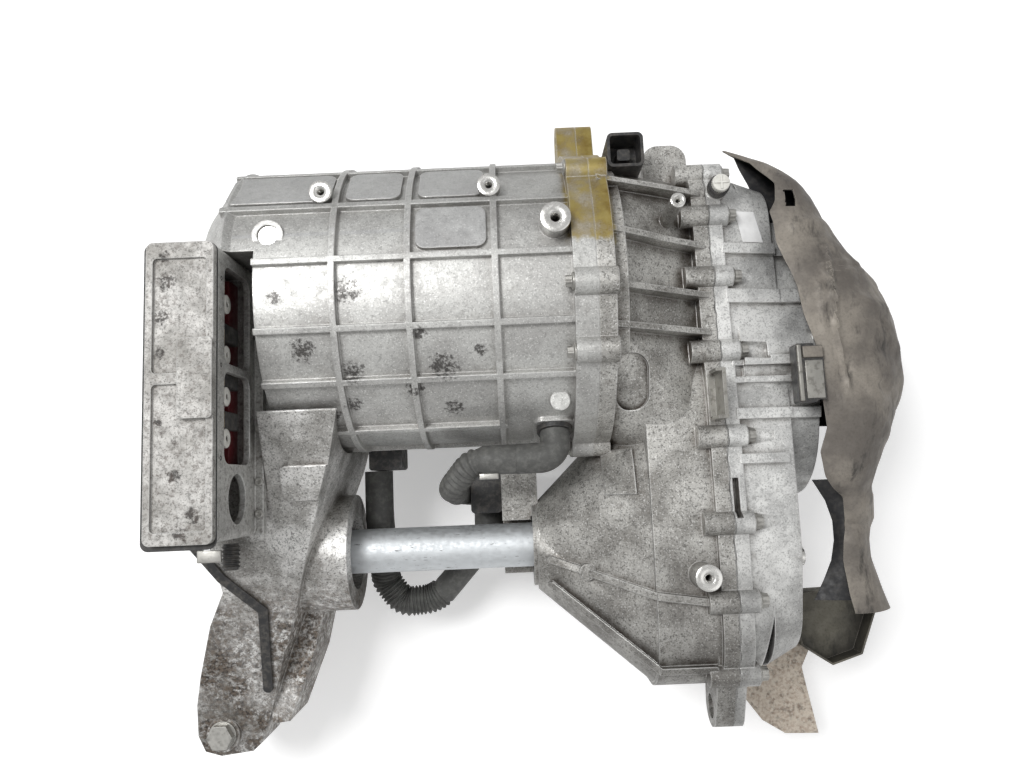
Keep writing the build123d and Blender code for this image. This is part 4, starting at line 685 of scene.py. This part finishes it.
def small_parts():
    """Add screws, clips and the ribbed parts that the photograph shows between the big ones."""
    bright, black, white = bmesh.new(), bmesh.new(), bmesh.new()
    head = [(0, 3.4), (1.2, 3.4), (1.8, 2.8), (1.8, 1.7), (0.7, 1.5), (0.7, 0)]
    for y in (186.0, 110.0, 67.0, 41.0, 222.0):
        turned(bright, [(0, 0)] + head, (-381.5, y, 100), (0, 0, 1), 24)
    for y in (217.0, 152.0, 84.0):
        turned(black, [(-0.5, 0), (-0.5, 1.7), (0.15, 1.9), (0.15, 1.2), (-0.3, 0)],
               (-385, y, 174.5), (1, 0, 0), 20)
    slab(bright, (-435, 3, 90), (-415, 13, 92.5), 0.8)
    slab(bright, (-203, 61, 92), (-187, 66, 95), 0.8)
    turned(black, [(0, 0), (0, 6)] + ridged(1, 20, 6, 7.6, 1.6) + [(21, 6), (21, 0)],
           (-410, 17, 84), (0, -1, 0), 28)
    ribbed_disc(black, 93.0, 9.0, 9.0, 34)
    ribbed_disc(white, 103.2, 4.2, 7.6, 26)
    for mesh in (black, white, bright):
        bmesh.ops.recalc_face_normals(mesh, faces=mesh.faces)
    make_piece("small_screws", bright, "bolt_steel")
    make_piece("small_black_parts", black, "black_plastic")
    make_piece("breather_cap_ribs", white, "white_plastic")


def islands(name):
    """Return the low corner and the high corner of every loose part of a CAD node."""
    mesh = bmesh.new()
    mesh.from_mesh(frame["nodes"][name].data)
    bmesh.ops.remove_doubles(mesh, verts=mesh.verts, dist=1e-6)
    seen, found = set(), []
    for start in mesh.verts:
        if start in seen:
            continue
        seen.add(start)
        group, waiting = [], [start]
        while waiting:
            vert = waiting.pop()
            group.append(vert.co.copy())
            for other in (edge.other_vert(vert) for edge in vert.link_edges):
                if other not in seen:
                    seen.add(other)
                    waiting.append(other)
        found.append([Vector([pick(co[i] for co in group) for i in range(3)]) for pick in (min, max)])
    mesh.free()
    return found


def lobed_heads(name, side, size):
    """Replace a node's plain heads by flanged heads with six lobes, towards +X (1) or -X (-1)."""
    mesh = bmesh.new()
    for low, high in islands(name):
        middle = (low + high) / 2
        seat = low.x if side > 0 else high.x
        tall = high.x - low.x
        disc = [(0, 0), (0, size * 1.32), (0.8, size * 1.36), (1.5, size * 1.3), (2.4, size * 1.02), (2.4, 0)]
        turned(mesh, disc, (seat * 1000, middle.y * 1000, middle.z * 1000), (side, 0, 0), 28)
        made = bmesh.ops.create_circle(mesh, cap_ends=True, segments=48, radius=size / 1000)["verts"]
        for i, vert in enumerate(made):
            vert.co *= 0.9 + 0.1 * math.cos(2 * math.pi * 6 * i / 48)
        bmesh.ops.rotate(mesh, cent=(0, 0, 0), matrix=Matrix.Rotation(math.pi / 2, 3, "Y"), verts=made)
        bmesh.ops.translate(mesh, vec=(seat + side * 0.001, middle.y, middle.z), verts=made)
        raised = pulled_out(mesh, made)
        bmesh.ops.translate(mesh, vec=(side * (tall - 0.001), 0, 0), verts=raised)
        bmesh.ops.scale(mesh, vec=(1, 0.93, 0.93), verts=raised, space=Matrix.Translation(-middle))
    bmesh.ops.recalc_face_normals(mesh, faces=mesh.faces)
    piece = make_piece(name + "_lobed", mesh, "bolt_steel")
    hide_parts(name)


def ribbon(name, lefts, rights, bow, across=20, fine=6):
    """Make a thin black sheet between two edges, each a list of places in millimetres."""
    last = len(lefts) - 1
    mesh = bmesh.new()
    bmesh.ops.create_grid(mesh, x_segments=across, y_segments=last * fine, size=0.5)
    for vert in mesh.verts:
        u, v = vert.co.x + 0.5, (vert.co.y + 0.5) * last
        i = min(int(v), last - 1)
        left = mm(*lefts[i]).lerp(mm(*lefts[i + 1]), v - i)
        right = mm(*rights[i]).lerp(mm(*rights[i + 1]), v - i)
        vert.co = left.lerp(right, u) + mm(0, 0, bow * math.sin(math.pi * u))
    bmesh.ops.recalc_face_normals(mesh, faces=mesh.faces)
    bmesh.ops.solidify(mesh, geom=mesh.faces[:], thickness=0.0008)
    bmesh.ops.recalc_face_normals(mesh, faces=mesh.faces)
    make_piece(name, mesh, "soot")


def shield_shade_sheets():
    """Add the near-black sheets between the cover and the shield, which stand in for the shade inside the
    shield.
    """
    ribbon("shield_shade_sheet_top",
           ((84, 96, 40), (66, 190, 56), (54, 276, 58), (54, 296, 56), (50, 318, 50), (44, 334, 47),
            (40, 346, 46)),
           ((150, 96, 12), (150, 190, 12), (108, 276, 40), (100, 300, 50), (84, 320, 46), (66, 336, 42),
            (46, 347, 42)), 3.0)
    ribbon("shield_shade_sheet_strip",
           ((87, 49, 44), (97, 31, 44), (102, 13, 44), (102, -4, 44), (98, -21, 44), (90, -37, 44),
            (80, -54, 44)),
           ((115, 49, 54), (117, 30, 54), (115, 13, 54), (111, -3, 54), (112, -20, 54), (114, -37, 54),
            (119, -54, 54)), 1.5, 12)


def shield_clip():
    """Add the plated face and the tongue of the clip on the shield's edge."""
    mesh = bmesh.new()
    slab(mesh, (64.5, 115, 110.9), (79.0, 146, 111.9), 0.5)
    slab(mesh, (58.5, 113, 110.8), (62.0, 159, 113.2), 0.8)
    make_piece("clip_face", mesh, "plated_steel")
    mesh = bmesh.new()
    slab(mesh, (63.0, 148, 110.8), (79.5, 157.5, 113.4), 1.0)
    make_piece("clip_tongue", mesh, "shield_sheet")


def sticker():
    """Lay the bare white sticker on the gearbox cover."""
    tree = BVHTree.FromObject(frame["nodes"]["gearbox_cover"], bpy.context.evaluated_depsgraph_get())
    low_left, low_right = Vector((31, 255)), Vector((50, 255))
    top_left, top_right = Vector((26, 283)), Vector((44, 283))
    mesh = bmesh.new()
    bmesh.ops.create_grid(mesh, x_segments=14, y_segments=20, size=0.5)
    for vert in mesh.verts:
        u, v = vert.co.x + 0.5, vert.co.y + 0.5
        place = low_left.lerp(low_right, u).lerp(top_left.lerp(top_right, u), v)
        hit = tree.ray_cast(mm(place.x, place.y, 300), Vector((0, 0, -1)))[0]
        vert.co = hit + mm(0, 0, 0.35)
    bmesh.ops.recalc_face_normals(mesh, faces=mesh.faces)
    bmesh.ops.solidify(mesh, geom=mesh.faces[:], thickness=0.0002)
    make_piece("bare_sticker", mesh, "label_white")


def camera():
    """Look down on the unit as the photograph does."""
    pitch, roll = math.radians(7.0), math.radians(2.4)
    right, up = Vector((1, 0, 0)), Vector((0, math.cos(pitch), math.sin(pitch)))
    forward = Vector((0, math.sin(pitch), -math.cos(pitch)))
    turned_right = right * math.cos(roll) - up * math.sin(roll)
    turned_up = right * math.sin(roll) + up * math.cos(roll)
    matrix = Matrix((turned_right, turned_up, -forward)).transposed().to_4x4()
    matrix.translation = mm(-173, 59, 743.6)
    data = bpy.data.cameras.new("view")
    data.lens = 27.7
    data.sensor_width = 36.0
    data.clip_start = 0.01
    eye = bpy.data.objects.new("view", data)
    eye.matrix_world = matrix
    bpy.context.scene.collection.objects.link(eye)
    bpy.context.scene.camera = eye


def lamp(name, place, target, size, power):
    """Hang a square lamp that looks at a target, all in metres and watts."""
    data = bpy.data.lights.new(name, "AREA")
    data.shape = "SQUARE"
    data.size = size
    data.energy = power
    light = bpy.data.objects.new(name, data)
    light.location = place
    light.rotation_euler = (Vector(target) - Vector(place)).to_track_quat("-Z", "Y").to_euler()
    bpy.context.scene.collection.objects.link(light)


def studio():
    """Lay a pale floor and light it softly from the upper left."""
    finish = Finish("floor", 0.9)
    finish.colour(finish.blend(finish.noise(300.0, 2.0), (0.90, 0.90, 0.90), (0.94, 0.94, 0.94)))
    seen = finish.add("ShaderNodeLightPath").outputs["Is Camera Ray"]
    finish.shader.inputs["Emission Color"].default_value = (1, 1, 1, 1)
    finish.join(finish.shader.inputs["Emission Strength"], finish.calc("MULTIPLY", seen, 0.3))
    mesh = bmesh.new()
    bmesh.ops.create_grid(mesh, x_segments=1, y_segments=1, size=6.0)
    bmesh.ops.translate(mesh, vec=mm(0, 0, FLOOR_Z), verts=mesh.verts)
    data = bpy.data.meshes.new("floor")
    mesh.to_mesh(data)
    mesh.free()
    data.materials.append(finish.material)
    floor = bpy.data.objects.new("floor", data)
    bpy.context.scene.collection.objects.link(floor)
    world = bpy.data.worlds.new("room")
    world.use_nodes = True
    world.node_tree.nodes["Background"].inputs["Color"].default_value = (1, 1, 1, 1)
    world.node_tree.nodes["Background"].inputs["Strength"].default_value = 0.5
    bpy.context.scene.world = world
    middle = (-0.15, 0.1, 0.0)
    lamp("key", (-1.0, 0.62, 2.0), middle, 0.7, 31.5)
    lamp("fill", (1.2, -0.6, 1.6), middle, 1.6, 6.0)


camera()
studio()
dress_nodes()
boss_faces()
lobed_heads("gearbox_flange_bolts", 1, 6.0)
lobed_heads("motor_joint_bolts", -1, 5.0)
shield_shade_sheets()
shield_clip()
hoses()
shield_sheet()
terminal_details()
small_parts()
sticker()

bpy.context.scene.view_settings.view_transform = "Standard"
bpy.context.view_layer.update()
